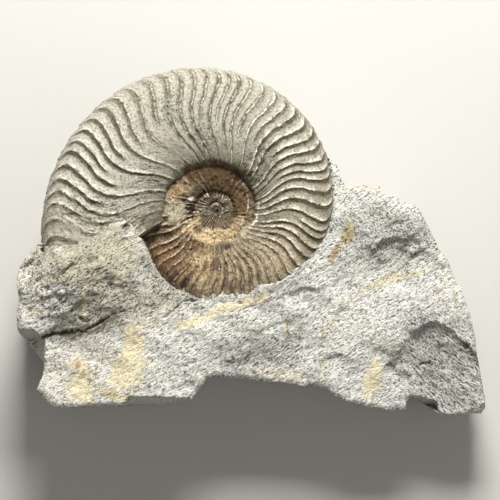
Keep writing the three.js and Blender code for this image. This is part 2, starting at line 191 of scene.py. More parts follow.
class Noise:
    """Smooth noise that repeats from its seed."""

    def __init__(self, seed: int) -> None:
        """Shuffles the gradients.

        Args:
            seed: the shuffle's seed.
        """
        shuffle = np.random.default_rng(seed)
        self.order = shuffle.permutation(256)
        slopes = shuffle.normal(size=(256, 3))
        self.slopes = slopes / np.linalg.norm(slopes, axis=1, keepdims=True)
        self.places = shuffle.uniform(0.1, 0.9, (256, 2))
        self.heights = shuffle.uniform(-1, 1, 256)

    def pick(self, cells: np.ndarray) -> np.ndarray:
        """Gives each whole-number cell a number from 0 to 255."""
        number = np.zeros(len(cells), int)
        for column in cells.T:
            number = self.order[(number + column) & 255]
        return number

    def bumps(self, points: np.ndarray, size: float) -> np.ndarray:
        """Gives noise of about -1 to 1.

        Args:
            points: rows of x, y and z in millimetres.
            size: the distance between bumps in millimetres.

        Returns:
            One value for each point.
        """
        cell = np.floor(points / size).astype(int)
        part = points / size - cell
        fade = part**3 * (part * (part * 6 - 15) + 10)
        total = np.zeros(len(points))
        for corner in itertools.product((0, 1), repeat=3):
            weight = np.prod(np.where(corner, fade, 1 - fade), axis=1)
            slope = self.slopes[self.pick(cell + corner)]
            total += weight * np.einsum("ij,ij->i", slope, part - corner)
        return total * 1.7

    def layers(self, points: np.ndarray, size: float, count: int) -> np.ndarray:
        """Adds noise of ever smaller and lower bumps, each half the last."""
        return sum(self.bumps(points + 17.3 * i, size / 2**i) / 2**i for i in range(count))

    def facets(self, spots: np.ndarray, length: float, width: float, turn: float) -> np.ndarray:
        """Gives the height of a surface broken into flat splinters, of about -1 to 1.

        Args:
            spots: rows of x and y in millimetres.
            length: a splinter's length.
            width: its width.
            turn: the way that the splinters run, in degrees from +X.

        Returns:
            One height for each spot.
        """
        angle = math.radians(turn)
        along = (spots[:, 0] * math.cos(angle) + spots[:, 1] * math.sin(angle)) / length
        across = (spots[:, 1] * math.cos(angle) - spots[:, 0] * math.sin(angle)) / width
        place = np.column_stack([along, across])
        cell = np.floor(place).astype(int)
        nearest = np.full(len(spots), np.inf)
        height = np.zeros(len(spots))
        for step in itertools.product((-1, 0, 1), repeat=2):
            near = cell + step
            number = self.pick(near)
            offset = place - near - self.places[number]
            distance = np.einsum("ij,ij->i", offset, offset)
            level = 0.5 * self.heights[number] + np.einsum("ij,ij->i", offset, self.slopes[number, :2])
            height = np.where(distance < nearest, level, height)
            nearest = np.minimum(distance, nearest)
        return height


NOISE = Noise(seed=7)


def mesh_object(name: str, points: np.ndarray, faces: list, marks: dict[Mark, np.ndarray]) -> bpy.types.Object:
    """Makes an object of points in millimetres.

    Args:
        name: the object's name.
        points: rows of x, y and z.
        faces: each face's point numbers, the right way round to look outwards.
        marks: a value at each point for each mark.

    Returns:
        The object, linked into the scene, at the origin.
    """
    mesh = bpy.data.meshes.new(name)
    mesh.from_pydata((points * MM).tolist(), [], faces)
    for mark, values in marks.items():
        mesh.attributes.new(mark.value, "FLOAT", "POINT").data.foreach_set("value", values.astype(np.float32))
    mesh.validate()
    mesh.shade_smooth()
    piece = bpy.data.objects.new(name, mesh)
    bpy.context.scene.collection.objects.link(piece)
    return piece


@dataclass(frozen=True)
class Stain:
    """A coloured patch on a surface, by its middle, its two radii and its turn from +X in degrees."""

    middle: tuple[float, float]
    radii: tuple[float, float]
    turn: float = 0.0
    strength: float = 1.0

    def cover(self, spots: np.ndarray, ragged: np.ndarray) -> np.ndarray:
        """Gives how strongly the patch shows.

        Args:
            spots: rows of x and y in millimetres.
            ragged: noise at the spots, which makes the patch's edge uneven.

        Returns:
            A value from 0 to 1 for each spot.
        """
        angle = math.radians(self.turn)
        offset = spots - self.middle
        along = (offset[:, 0] * math.cos(angle) + offset[:, 1] * math.sin(angle)) / self.radii[0]
        across = (offset[:, 1] * math.cos(angle) - offset[:, 0] * math.sin(angle)) / self.radii[1]
        return self.strength * (1 - smoothstep(0.55, 1.25, np.hypot(along, across) + 0.45 * ragged))


@dataclass(frozen=True)
class Vein:
    """A thin coloured vein, by the line that it follows and its half width."""

    line: Points
    half_width: float
    strength: float = 1.0

    def cover(self, spots: np.ndarray, ragged: np.ndarray) -> np.ndarray:
        """Gives how strongly the vein shows at each spot, from 0 to 1."""
        distance, _, _ = nearest_on_line(self.line, spots + 0.5 * ragged[:, None])
        return self.strength * (1 - smoothstep(0.3, 1.3, distance / self.half_width + 0.5 * ragged))


def covered(patches: Sequence[Stain | Vein], spots: np.ndarray, grain: float) -> np.ndarray:
    """Joins patches into one mask, with edges as uneven as noise of a grain in millimetres."""
    flat = np.column_stack([spots, np.zeros(len(spots))])
    ragged = NOISE.layers(flat, grain, 3)
    return np.max([patch.cover(spots, ragged) for patch in patches], axis=0)


# Finishes


class Weathered:
    """What the finishes of the specimen share."""

    def begin(self, name: str, marks: Sequence[Mark]) -> tuple[bpy.types.Material, dict[Mark, bpy.types.NodeSocket]]:
        """Starts a material.

        Args:
            name: the material's name.
            marks: the marks that it reads.

        Returns:
            The material, with an empty tree but for the marks' nodes, and the value of each mark.
        """
        material = bpy.data.materials.new(name)
        material.use_nodes = True
        tree = material.node_tree
        tree.nodes.clear()
        values = {
            mark: add_node(tree, "ShaderNodeAttribute", attribute_name=mark.value).outputs["Fac"] for mark in marks
        }
        return material, values

    def noise(
        self, tree: bpy.types.NodeTree, place: bpy.types.NodeSocket, size: float, detail: float = 3.0
    ) -> bpy.types.NodeSocket:
        """Adds noise of a size in millimetres at a place."""
        inputs = {"Vector": place, "Scale": 1 / (size * MM), "Detail": detail, "Roughness": 0.68}
        return add_node(tree, "ShaderNodeTexNoise", inputs).outputs["Fac"]

    def layer(
        self,
        tree: bpy.types.NodeTree,
        base: bpy.types.NodeSocket,
        colour: str,
        mask: bpy.types.NodeSocket,
        breakup: bpy.types.NodeSocket,
        crispness: float,
    ) -> bpy.types.NodeSocket:
        """Lays a colour over another where a mask is high, broken up by noise.

        Args:
            tree: the material's tree.
            base: the colour below.
            colour: the colour that goes over it, as sRGB hex.
            mask: where it goes, from 0 to 1.
            breakup: the noise.
            crispness: how sharp the patches' edges are, from 1 for the softest.

        Returns:
            The mixed colour.
        """
        broken = add_node(tree, "ShaderNodeMath", {0: breakup, 1: 1.6, 2: -0.8}, operation="MULTIPLY_ADD").outputs[0]
        shifted = add_node(
            tree, "ShaderNodeMath", {0: broken, 1: mask, 2: mask}, operation="MULTIPLY_ADD"
        ).outputs[0]
        cover = add_node(
            tree,
            "ShaderNodeMath",
            {0: shifted, 1: crispness, 2: 0.5 - 0.5 * crispness},
            operation="MULTIPLY_ADD",
            use_clamp=True,
        ).outputs[0]
        mix = add_node(tree, "ShaderNodeMix", {"Factor": cover, 6: base, 7: linear(colour)}, data_type="RGBA")
        return mix.outputs[2]

    def finish_off(
        self,
        material: bpy.types.Material,
        colour: bpy.types.NodeSocket,
        relief: bpy.types.NodeSocket,
        depth: float,
        roughness: float,
    ) -> bpy.types.Material:
        """Joins a colour and a relief of a depth in millimetres into the material's surface."""
        tree = material.node_tree
        bump = add_node(tree, "ShaderNodeBump", {"Height": relief, "Distance": depth * MM, "Strength": 1.0})
        surface = add_node(
            tree,
            "ShaderNodeBsdfPrincipled",
            {"Base Color": colour, "Roughness": roughness, "Specular IOR Level": 0.22, "Normal": bump.outputs[0]},
        )
        add_node(tree, "ShaderNodeOutputMaterial", {"Surface": surface.outputs[0]})
        return material


@dataclass(frozen=True)
class ShellFinish(Weathered):
    """Fossil shell, calcite after aragonite: dull and fine grained, pale on the ribs with a painted highlight along
    their crests and lit sides, and with dirt and painted shade in the grooves.

    The outer whorl is weathered grey, and the inner whorls keep a honey-brown shell layer.
    """

    # Colours along the coil from the core to the mouth, at the growth angle in degrees: crest, then groove, whose
    # darker colour stands for dirt and painted shade
    crests: tuple[tuple[float, str], ...] = (
        (-1200, "#8d8068"),
        (-540, "#99896d"),
        (-330, "#7e6e55"),
        (-230, "#8b7b5f"),
        (-165, "#a08d72"),
        (-120, "#a38d6a"),
        (-70, "#a89a7f"),
        (-35, "#9b917b"),
        (-5, "#868171"),
        (40, "#858276"),
        (75, "#999689"),
        (120, "#999689"),
        (160, "#98958a"),
        (200, "#9b9787"),
    )
    grooves: tuple[tuple[float, str], ...] = (
        (-1200, "#473b2d"),
        (-540, "#4a3b29"),
        (-330, "#453624"),
        (-165, "#3c2a19"),
        (-120, "#573f26"),
        (-70, "#62523a"),
        (-35, "#5c513a"),
        (-5, "#574d36"),
        (40, "#564f39"),
        (75, "#5b5643"),
        (120, "#5f5a47"),
        (160, "#57503d"),
        (200, "#5c5441"),
    )
    # Stains, and colours of painted shade and painted highlight, from the lowest up, with how sharp their edges are
    patches: tuple[tuple[Mark, str, float], ...] = (
        (Mark.TAN, "#bfaa85", 1.6),
        (Mark.BROWN, "#6f5537", 1.3),
        (Mark.RUST, "#8c6a47", 1.3),
        (Mark.GREY, "#57493f", 2.0),
        (Mark.PALE_AND_LIT, "#a59e86", 2.4),
        (Mark.LINE, "#ebe6d6", 1.2),
        (Mark.DARK, "#21170e", 1.0),
    )
    grain: float = 0.38  # the sugary grain of the shell, as coarse as shows in the picture
    # Growth lines run along the ribs: their share of the grain, how far they stretch, and the radius of their scale
    striae_share: float = 0.45
    striae_stretch: float = 1.6
    striae_reach: float = 24.0
    mottle: float = 2.4
    bump_depth: float = 0.34

    def colour_along(
        self, tree: bpy.types.NodeTree, turn: bpy.types.NodeSocket, stops: tuple[tuple[float, str], ...]
    ) -> bpy.types.NodeSocket:
        """Adds a ramp of colours along the coil and gives its colour."""
        first, last = stops[0][0], stops[-1][0]
        placed = [((angle - first) / (last - first), colour) for angle, colour in stops]
        return add_node(tree, "ShaderNodeValToRGB", {0: turn}, stops=placed).outputs[0]

    def material(self) -> bpy.types.Material:
        """Builds the material.

        Returns:
            The material, which reads the shell's marks.
        """
        material, marks = self.begin(
            "fossil_calcite_shell",
            (Mark.ANGLE, Mark.SHARE, Mark.DIRT_AND_SHADE, Mark.CRUST, *(mark for mark, _, _ in self.patches)),
        )
        tree = material.node_tree
        place = add_node(tree, "ShaderNodeTexCoord").outputs["Object"]
        crystals = self.noise(tree, place, self.grain)
        grown = add_node(
            tree, "ShaderNodeCombineXYZ", {"X": marks[Mark.ANGLE], "Y": marks[Mark.SHARE], "Z": 0.0}
        ).outputs[0]
        scaled = add_node(
            tree,
            "ShaderNodeVectorMath",
            {0: grown, 1: (self.striae_reach * MM, self.striae_reach * MM / self.striae_stretch, 0)},
            operation="MULTIPLY",
        ).outputs[0]
        striae = self.noise(tree, scaled, self.grain)
        grain = add_node(tree, "ShaderNodeMix", {"Factor": self.striae_share, "A": crystals, "B": striae}).outputs[0]
        mottle = self.noise(tree, place, self.mottle, 5.0)
        first, last = (math.radians(self.crests[i][0]) for i in (0, -1))
        turn = add_node(
            tree, "ShaderNodeMapRange", {"Value": marks[Mark.ANGLE], "From Min": first, "From Max": last}
        ).outputs[0]
        crest = self.colour_along(tree, turn, self.crests)
        groove = self.colour_along(tree, turn, self.grooves)
        # Dirt and painted shade lie in the grooves, the flank is darker towards the seam, and dirt creeps up the ribs
        # in patches
        low = add_node(
            tree,
            "ShaderNodeMapRange",
            {"Value": marks[Mark.SHARE], "From Min": 0.62, "From Max": 0.33, "To Max": 0.42},
            interpolation_type="SMOOTHSTEP",
        ).outputs[0]
        dirt_and_shade = add_node(tree, "ShaderNodeMath", {0: marks[Mark.DIRT_AND_SHADE], 1: low}, operation="ADD").outputs[0]
        creeping = add_node(
            tree, "ShaderNodeMapRange", {"Value": mottle, "From Min": 0.5, "From Max": 0.78, "To Max": 0.45}
        ).outputs[0]
        soiled_and_shaded = add_node(tree, "ShaderNodeMath", {0: dirt_and_shade, 1: creeping}, operation="ADD", use_clamp=True).outputs[0]
        base = add_node(
            tree, "ShaderNodeMix", {"Factor": soiled_and_shaded, 6: crest, 7: groove}, data_type="RGBA"
        ).outputs[2]
        for mark, colour, crispness in self.patches:
            base = self.layer(tree, base, colour, marks[mark], grain, crispness)
        # The ribs' backs are worn smooth, and sugary crystals stand in the grooves and the crust
        sugary = add_node(
            tree, "ShaderNodeMath", {0: marks[Mark.CRUST], 1: marks[Mark.DIRT_AND_SHADE]}, operation="ADD"
        ).outputs[0]
        strength = add_node(
            tree, "ShaderNodeMath", {0: sugary, 1: 0.5, 2: 0.7}, operation="MULTIPLY_ADD", use_clamp=True
        ).outputs[0]
        speckle = add_node(
            tree, "ShaderNodeValToRGB", {0: grain}, stops=[(0.4, 0.3), (0.49, 0.96), (0.58, 1.34)]
        ).outputs[0]
        grained = add_node(
            tree, "ShaderNodeMix", {"Factor": strength, 6: base, 7: speckle}, data_type="RGBA", blend_type="MULTIPLY"
        ).outputs[2]
        coarse = add_node(tree, "ShaderNodeMath", {0: sugary, 1: 1.5, 2: 0.6}, operation="MULTIPLY_ADD").outputs[0]
        centred = add_node(tree, "ShaderNodeMath", {0: grain, 1: 0.5}, operation="SUBTRACT").outputs[0]
        relief = add_node(tree, "ShaderNodeMath", {0: centred, 1: coarse}, operation="MULTIPLY").outputs[0]
        return self.finish_off(material, grained, relief, self.bump_depth, 0.62)


@dataclass(frozen=True)
class LimestoneFinish(Weathered):
    """Broken limestone: rough and matt, fine grained, pale grey, with cream and ochre iron stains."""

    greys: tuple[tuple[float, str], ...] = ((0.32, "#d8d8d1"), (0.5, "#e1e1db"), (0.68, "#e8e6dc"))
    # Stains, and colours of painted shade and painted light, from the lowest up, with how sharp their edges are
    patches: tuple[tuple[Mark, str, float], ...] = (
        (Mark.PALE_AND_LIT, "#f2efe4", 1.0),
        (Mark.TAN, "#cbc4ae", 1.0),
        (Mark.DARK, "#979384", 1.1),
        (Mark.OCHRE, "#d2c69b", 1.2),
        (Mark.CREAM, "#fbf0cd", 1.8),
        (Mark.RUST, "#b08d72", 1.1),
        # painted shade in the cracks and in the tiny shell's hollow
        (Mark.HOLLOW_SHADE, "#5f584a", 1.2),
    )
    grain: float = 0.31  # the grain of the broken face, as coarse as shows in the picture
    grain_stretch: float = 2.8
    rising_turn: float = 38.0  # the way that the grain runs, in degrees from +X
    falling_stretch: float = 3.4
    falling_turn: float = -40.0  # the way that it runs in the hollow and on the bench
    fine_grain: float = 0.23
    fine_share: float = 0.42  # of the grain that doesn't run any way
    rough_gain: float = 0.85  # how much stronger the grain is in the rough breaks
    clouds: float = 7.0
    bump_depth: float = 1.3

    def streaks(
        self, tree: bpy.types.NodeTree, place: bpy.types.NodeSocket, turn: float, stretch: float
    ) -> bpy.types.NodeSocket:
        """Adds the grain, stretched along a way given in degrees from +X."""
        turned = add_node(tree, "ShaderNodeMapping", {"Vector": place, "Rotation": (0, 0, -math.radians(turn))})
        scale = (1 / stretch, 1, 1)
        stretched = add_node(tree, "ShaderNodeMapping", {"Vector": turned.outputs[0], "Scale": scale})
        return self.noise(tree, stretched.outputs[0], self.grain)

    def material(self) -> bpy.types.Material:
        """Builds the material.

        Returns:
            The material, which reads the rock's marks.
        """
        material, marks = self.begin(
            "broken_limestone", [Mark.FALLING, Mark.ROUGH, *(mark for mark, _, _ in self.patches)]
        )
        tree = material.node_tree
        place = add_node(tree, "ShaderNodeTexCoord").outputs["Object"]
        streaks = add_node(
            tree,
            "ShaderNodeMix",
            {
                "Factor": marks[Mark.FALLING],
                "A": self.streaks(tree, place, self.rising_turn, self.grain_stretch),
                "B": self.streaks(tree, place, self.falling_turn, self.falling_stretch),
            },
        ).outputs[0]
        grain = self.noise(tree, place, self.fine_grain)
        clouds = self.noise(tree, place, self.clouds, 5.0)
        base = add_node(tree, "ShaderNodeValToRGB", {0: clouds}, stops=self.greys).outputs[0]
        for mark, colour, crispness in self.patches:
            base = self.layer(tree, base, colour, marks[mark], streaks, crispness)
        mixed = add_node(tree, "ShaderNodeMix", {"Factor": self.fine_share, "A": streaks, "B": grain}).outputs[0]
        centred = add_node(tree, "ShaderNodeMath", {0: mixed, 1: 0.49}, operation="SUBTRACT").outputs[0]
        reach = add_node(
            tree, "ShaderNodeMath", {0: marks[Mark.ROUGH], 1: self.rough_gain, 2: 1.0}, operation="MULTIPLY_ADD"
        ).outputs[0]
        relief = add_node(tree, "ShaderNodeMath", {0: centred, 1: reach, 2: 0.49}, operation="MULTIPLY_ADD").outputs[0]
        speckle = add_node(
            tree, "ShaderNodeValToRGB", {0: relief}, stops=[(0.398, "#5c5441"), (0.48, 0.95), (0.58, 1.37)]
        ).outputs[0]
        # Cream calcite is smoother than the rock round it
        strength = add_node(
            tree, "ShaderNodeMath", {0: marks[Mark.CREAM], 1: -0.6, 2: 0.95}, operation="MULTIPLY_ADD"
        ).outputs[0]
        grained = add_node(
            tree, "ShaderNodeMix", {"Factor": strength, 6: base, 7: speckle}, data_type="RGBA", blend_type="MULTIPLY"
        ).outputs[2]
        return self.finish_off(material, grained, relief, self.bump_depth, 0.92)


@dataclass(frozen=True)
class FloorFinish:
    """Matt pale card under the specimen."""

    colour: str = "#b9b8b4"

    def material(self) -> bpy.types.Material:
        """Builds the material."""
        material = bpy.data.materials.new("matt_card")
        material.use_nodes = True
        surface = material.node_tree.nodes["Principled BSDF"]
        surface.inputs["Base Color"].default_value = linear(self.colour)
        surface.inputs["Roughness"].default_value = 0.95
        surface.inputs["Specular IOR Level"].default_value = 0.1
        return material


# The shell


@dataclass(frozen=True)
class Spiral:
    """The logarithmic spiral that the shell grows along, and a whorl's section."""

    centre: tuple[float, float] = (-7.25, 5.58)
    mid_plane: float = 22.4
    keel_radius: float = 21.3  # from the centre to the keel in the direction +X
    growth: float = 0.133  # the radius grows by e to this power for each radian
    core: float = -1760.0  # growth angles in degrees
    mouth: float = 199.0
    # Half thickness at a share of the keel's radius, both as shares of it
    section: Points = (
        (0.31, 0.08),
        (0.33, 0.118),
        (0.37, 0.155),
        (0.45, 0.183),
        (0.57, 0.198),
        (0.68, 0.194),
        (0.78, 0.174),
        (0.87, 0.142),
        (0.93, 0.108),
        (0.965, 0.07),
        (0.99, 0.03),
        (1.0, 0.0),
    )

    @property
    def seam(self) -> float:
        """Share of the keel's radius where a whorl meets the one inside it."""
        return self.section[0][0]

    def radius(self, angle: np.ndarray) -> np.ndarray:
        """Distance from the centre to the keel at a growth angle in radians."""
        return self.keel_radius * np.exp(self.growth * angle)

    def whorl_at(self, spots: np.ndarray) -> tuple[np.ndarray, np.ndarray]:
        """Finds the whorl that lies on top at each spot.

        Args:
            spots: rows of x and y in millimetres.

        Returns:
            The growth angle in radians and the share of the keel's radius.
        """
        offset = spots - self.centre
        reach = np.hypot(*offset.T)
        angle = np.arctan2(offset[:, 1], offset[:, 0])
        angle = np.where(angle + 2 * math.pi <= math.radians(self.mouth), angle + 2 * math.pi, angle)
        for _ in range(math.ceil((self.mouth - self.core) / 360)):
            inner = (reach < self.seam * self.radius(angle)) & (angle > math.radians(self.core))
            angle = np.where(inner, angle - 2 * math.pi, angle)
        return angle, reach / self.radius(angle)

    def face(self, spots: np.ndarray, side: int = 1) -> np.ndarray:
        """Height of the shell's smooth upper face (side 1) or lower face (side -1) at each spot."""
        angle, share = self.whorl_at(spots)
        return self.mid_plane + side * self.radius(angle) * table(self.section, share)

    def lowest_face(self, spots: np.ndarray) -> np.ndarray:
        """Height of the lowest whorl's upper face at each spot, where one whorl laps over another."""
        angle, share = self.whorl_at(spots)
        inner = angle - 2 * math.pi
        lapped = share * self.radius(angle) / self.radius(inner)
        below = np.where(lapped < 1, self.radius(inner) * table(self.section, lapped), np.inf)
        return self.mid_plane + np.minimum(self.radius(angle) * table(self.section, share), below)

    def keel(self, first: float, last: float, step: float, share: float) -> list[tuple[float, float]]:
        """Points along the keel, or along a share of its radius, from one angle in degrees to another."""
        angles = np.radians(np.linspace(first, last, math.ceil((last - first) / step) + 1))
        reach = share * self.radius(angles)
        x = self.centre[0] + reach * np.cos(angles)
        y = self.centre[1] + reach * np.sin(angles)
        return list(zip(x.tolist(), y.tolist()))


@dataclass
class Ammonite:
    """The ribbed shell, a strip of growth lines that Geometry Nodes wind along the spiral."""

    spiral: Spiral
    finish: ShellFinish
    rib_depth: float = 0.025  # as a share of the keel's radius
    seam_waver: float = 0.022  # how far the umbilical seam wavers, as a share of the keel's radius
    rib_wear: float = 0.75  # how much of the ribbing is worn off in places on the inner whorls
    wear_along: Points = (
        (-900, 0.3),
        (-600, 0.35),
        (-510, 1.0),
        (-185, 1.3),
        (-158, 0.2),
        (-125, 0.2),
        (-105, 0.45),
        (-60, 0.35),
        (-25, 0.2),
        (170, 0.2),
        (184, 1),
    )
    wear_depth: float = 0.3
    wear_size: float = 1.0
    crust_height: float = 0.28
    shown_rows: int = 52
    hidden_rows: int = 8
    # Growth angles where the sections get closer, and the step between sections from there, all in degrees
    steps: Points = ((-1760, 9.0), (-1040, 4.0), (-900, 2.0), (-530, 1.1), (-162, 0.36))
    # A rib's sickle curve: degrees that it swings towards the mouth, at a share of the keel's radius
    sickle: Points = (
        (0.31, -4.2),
        (0.42, -0.2),
        (0.53, 4.6),
        (0.6, 6.0),
        (0.7, 4.9),
        (0.8, 1.5),
        (0.86, 0.0),
        (0.93, -1.0),
        (0.965, 0.0),
        (0.985, 1.6),
        (1.0, 3.4),
    )
    sickle_swing: Points = ((-160, 0.5), (-40, 0.9), (15, 1.0), (60, 0.8), (100, 0.8), (125, 0.95), (165, 1.25))
    # Grooves between the ribs, in degrees where they cross 0.86 of the keel's radius
    groove_angles: tuple[float, ...] = (
        -157, -147, -140.5, -134, -126.5, -118.5, -111, -104, -97, -90.5, -84, -77.5, -71, -64.5, -58, -51.5,
        -45, -38.5, -31.5, -25, -19, -13, -8.7, -3.1, 5, 12.5, 19, 23.7, 28.8, 35.2, 41, 47.5, 54.2, 60, 65.6,
        71.9, 77.5, 83.1, 87.7, 92.1, 97.3, 102.5, 108.5, 114.8, 121.5, 127.9, 134.6, 140.4, 146.3, 151.7,
        156.7, 161, 166.7, 172.1, 176.7, 181, 186.5, 192.5, 199, 206,
    )
    inner_rib_spacing: float = 9.0
    # Grooves that fade out on the inner flank, and the share of the keel's radius where they do
    short_grooves: tuple[tuple[float, float], ...] = (
        (-8.7, 0.72),
        (23.7, 0.55),
        (41, 0.6),
        (60, 0.58),
        (71.9, 0.56),
        (87.7, 0.62),
        (97.3, 0.6),
        (121.5, 0.66),
        (134.6, 0.62),
        (146.3, 0.64),
        (156.7, 0.68),
        (161, 0.6),
        (172.1, 0.66),
        (181, 0.6),
    )
    # How deep the ribbing is at a share of the keel's radius, and along the coil
    depth_across: Points = (
        (0.31, 0.1),
        (0.35, 0.45),
        (0.44, 0.6),
        (0.57, 0.85),
        (0.68, 1.0),
        (0.86, 1.0),
        (0.945, 0.95),
        (0.975, 0.65),
        (0.99, 0.15),
        (1.0, 0.0),
    )
    depth_along: Points = (
        (-1200, 0.8), (-700, 1.1), (-520, 1.5), (-165, 2.0), (-125, 1.8), (-100, 1.5), (-60, 1.3), (-20, 1.05),
        (45, 1.05), (70, 1.2), (130, 1.2), (145, 1.1), (176, 1.1), (186, 0.25),
    )
    # Whether the ribs are sharp with hollow valleys between them (1) or broad with narrow grooves (0), along the coil
    sharp_along: Points = (
        (-540, 1.0), (-165, 1.0), (-130, 0.8), (-110, 0.15), (-60, 0.2), (-35, 0.8), (-15, 1.0), (50, 1.0), (78, 0.25),
        (118, 0.25), (145, 1.0),
    )
    sharp_height: float = 0.78  # of a sharp rib, as a share of a narrow groove's depth
    # Half width of a narrow groove as a share of the rib spacing, along the coil
    groove_width: Points = ((-165, 0.3), (-112, 0.42), (-60, 0.42), (-15, 0.3))
    # How much dirt and painted shade lies all over a valley between sharp ribs, along the coil
    valley_dirt_and_shade: Points = ((-1200, 0.45), (-540, 0.5), (-165, 0.8), (-125, 0.75), (-100, 0.4), (-50, 0.15), (-15, 0))
    # The grooves' angles are those of the darkest lines, which lie this share of the spacing away from the light
    shade_shift: float = 0.12
    foot_shade_strength: float = 0.88  # how much painted shade lies at the foot of a sharp rib, on its side away from the light
    lit_side_highlight: float = 0.34  # how pale the painted highlight on a sharp rib's lit side is, as a share of its bright line
    edge_waver: float = 0.05  # how ragged a rib's edges are, as a share of the rib spacing
    keel_waver: float = 0.014  # how far the keel is worn back in places, as a share of its radius
    # How bright the line along a rib's back is, along the coil: calcite that shows there, and a painted highlight on
    # the crest
    line_and_highlight_along: Points = (
        (-1040, 0.5), (-700, 0.8), (-540, 0.9), (-330, 0.4), (-190, 0.4), (-160, 0.6), (-128, 0.55), (-105, 0.4),
        (-60, 0.4), (-20, 0.8), (60, 0.8), (90, 0.4), (120, 0.4), (199, 0.65),
    )
    # Where sediment fills the grooves
    filled: tuple[Stain, ...] = (
        Stain((-15.0, 5.0), (2.0, 3.0), 6),
        Stain((-7.6, 1.0), (4.8, 1.7), 4, 0.85),
        Stain((-7.6, 13), (5.6, 1.8), 0, 0.8),
        Stain((-16.3, 23.9), (1.8, 3.0), 0, 0.4),
        Stain((-9.5, -2.6), (2.6, 2.2), -20, 0.5),
    )
    stains: tuple[tuple[Mark, tuple[Stain | Vein, ...]], ...] = (
        (
            Mark.TAN,
            (
                Stain((-7.6, 1.0), (4.8, 1.5), 4),
                Stain((-12.4, 2.4), (2.4, 1.1), 48, 0.7),
                Stain((-3.2, 3.4), (1.4, 2.2), -20, 0.55),
                Stain((-10, -3.4), (2.4, 2.2), 20, 0.6),
                Stain((-9.6, -8), (1.6, 2.2), 10, 0.6),
                Stain((4, -4), (4.5, 2.2), 30, 0.35),
            ),
        ),
        (
            Mark.BROWN,
            (
                Stain((-17, -3), (3.4, 3.0), 40, 0.75),
                Stain((-10.5, -1.6), (2.4, 1.4), -20, 0.4),
                Stain((-7.5, 12.2), (6.4, 2.8), 0, 0.7),
                Stain((-3.4, 9), (2.4, 2.6), 0, 0.6),
                Stain((-1.4, 6), (1.2, 3.4), 0, 0.35),
            ),
        ),
        (
            Mark.RUST,
            (
                Stain((-15.1, 8.3), (1.1, 2.4), -14, 0.5),
                Stain((-16.5, -3.6), (2.2, 1.0), 40, 0.5),
                Stain((-2.8, 5.4), (0.9, 1.4), 0, 0.5),
                Stain((-13.4, 1.6), (1.4, 1.0), 20, 0.55),
            ),
        ),
        (
            Mark.GREY,
            (
                Stain((-15.0, -6.9), (1.3, 0.65), 58, 1.0),
                Stain((-12.8, -8.0), (1.4, 0.85), 66, 1.0),
                Stain((-16.5, -6.1), (0.9, 0.5), 55, 0.9),
                Stain((-6.1, -1.2), (1.2, 1.9), -30, 0.6),
                Stain((-7.4, -4.3), (0.8, 1.6), -10, 0.62),
                Stain((-5.4, -6.2), (0.7, 1.4), 10, 0.55),
                Stain((-3.2, -8.0), (2.9, 1.3), 8, 0.55),
                Stain((-15.5, 17), (4.0, 1.6), -40, 0.35),
                Stain((-6.9, 5.6), (1.6, 1.4), 0, 0.4),
                Stain((-9.6, 7.6), (2.4, 1.4), 35, 0.5),
            ),
        ),
        (
            Mark.PALE_AND_LIT,
            (
                Stain((-15.0, 4.9), (1.9, 2.9), 6, 0.95),
                Stain((-2.0, 2.2), (0.8, 2.2), -38, 0.95),
            ),
        ),
        (
            Mark.LINE,
            (
                Vein(((-8.2, 6.6), (-7.3, 6.8), (-6.5, 6.3), (-6.2, 5.4), (-6.6, 4.6)), 0.15, 0.6),
                Vein(((-0.8, 10.2), (0.2, 7.8), (0.2, 4.8), (-0.8, 2.4)), 0.16, 0.75),
                Stain((-8.9, 2.0), (0.5, 0.3), 0, 0.8),
                Vein(((-3.5, 11.6), (-2.2, 9.6), (-1.7, 7.2), (-1.9, 5), (-2.8, 3)), 0.14, 0.6),
                Stain((-12.4, 7.4), (0.9, 0.4), 20, 0.8),
                Stain((-3, -9.8), (0.4, 0.3), 0, 0.8),
            ),
        ),
        (
            Mark.DARK,
            (
                # The first three are painted shade: the shadowed corner under the mouth, the shaded umbilical wall and
                # the shaded top of the umbilicus
                Stain((-17.4, 0.9), (2.7, 0.9), -8, 0.6),
                Stain((-19.2, 3.2), (2.6, 2.6), 0, 0.42),
                Stain((-7.6, 12.2), (6.6, 2.6), 0, 0.42),
                Stain((-1.6, 9.6), (1.6, 3.6), 25, 0.35),
                Stain((-11.2, 9.2), (1.6, 1.0), 30, 0.5),
                Stain((-4.6, 9.8), (1.4, 0.8), -30, 0.45),
                Stain((-2.6, 6.4), (0.9, 1.5), 10, 0.4),
                Stain((-10.6, 1.6), (0.8, 0.5), 20, 0.5),
                Stain((-13.2, 7.2), (1.5, 0.4), -20, 0.8),
                Stain((-8.2, 10.3), (1.0, 0.5), 30, 0.6),
                Stain((-5.0, -1.0), (0.6, 0.5), 0, 0.7),
                Stain((-7.3, 5.5), (0.35, 0.35), 0, 0.9),
                Stain((-24, 2.3), (0.8, 0.5), 10, 0.8),
            ),
        ),
        (
            Mark.CRUST,
            (
                Stain((-16.3, 23.9), (2.2, 3.4), 0, 0.9),
                Stain((-10.5, 19.5), (2.2, 3.4), 30, 0.9),
                Stain((-15, 5), (2, 3), 6, 1.0),
                Stain((0, 14), (3, 6), -30, 0.9),
                Stain((3, 4), (2, 5), 0, 0.7),
                Stain((-7, -1), (9, 5), 0, 0.7),
                Stain((-7, 6), (9, 8), 0, 0.6),
                Stain((-28, 4), (9, 3.4), -5, 1.0),
                Stain((-2, 12), (3, 5), -30, 0.8),
                Stain((-20, 9), (3, 5), 0, 0.6),
            ),
        ),
    )

    def section_angles(self) -> np.ndarray:
        """Growth angles of the sections, in degrees."""
        stretches = []
        for (first, step), (last, _) in zip(self.steps, [*self.steps[1:], (self.spiral.mouth, 0)]):
            stretches.append(np.arange(first, last, step))
        return np.append(np.concatenate(stretches), self.spiral.mouth)

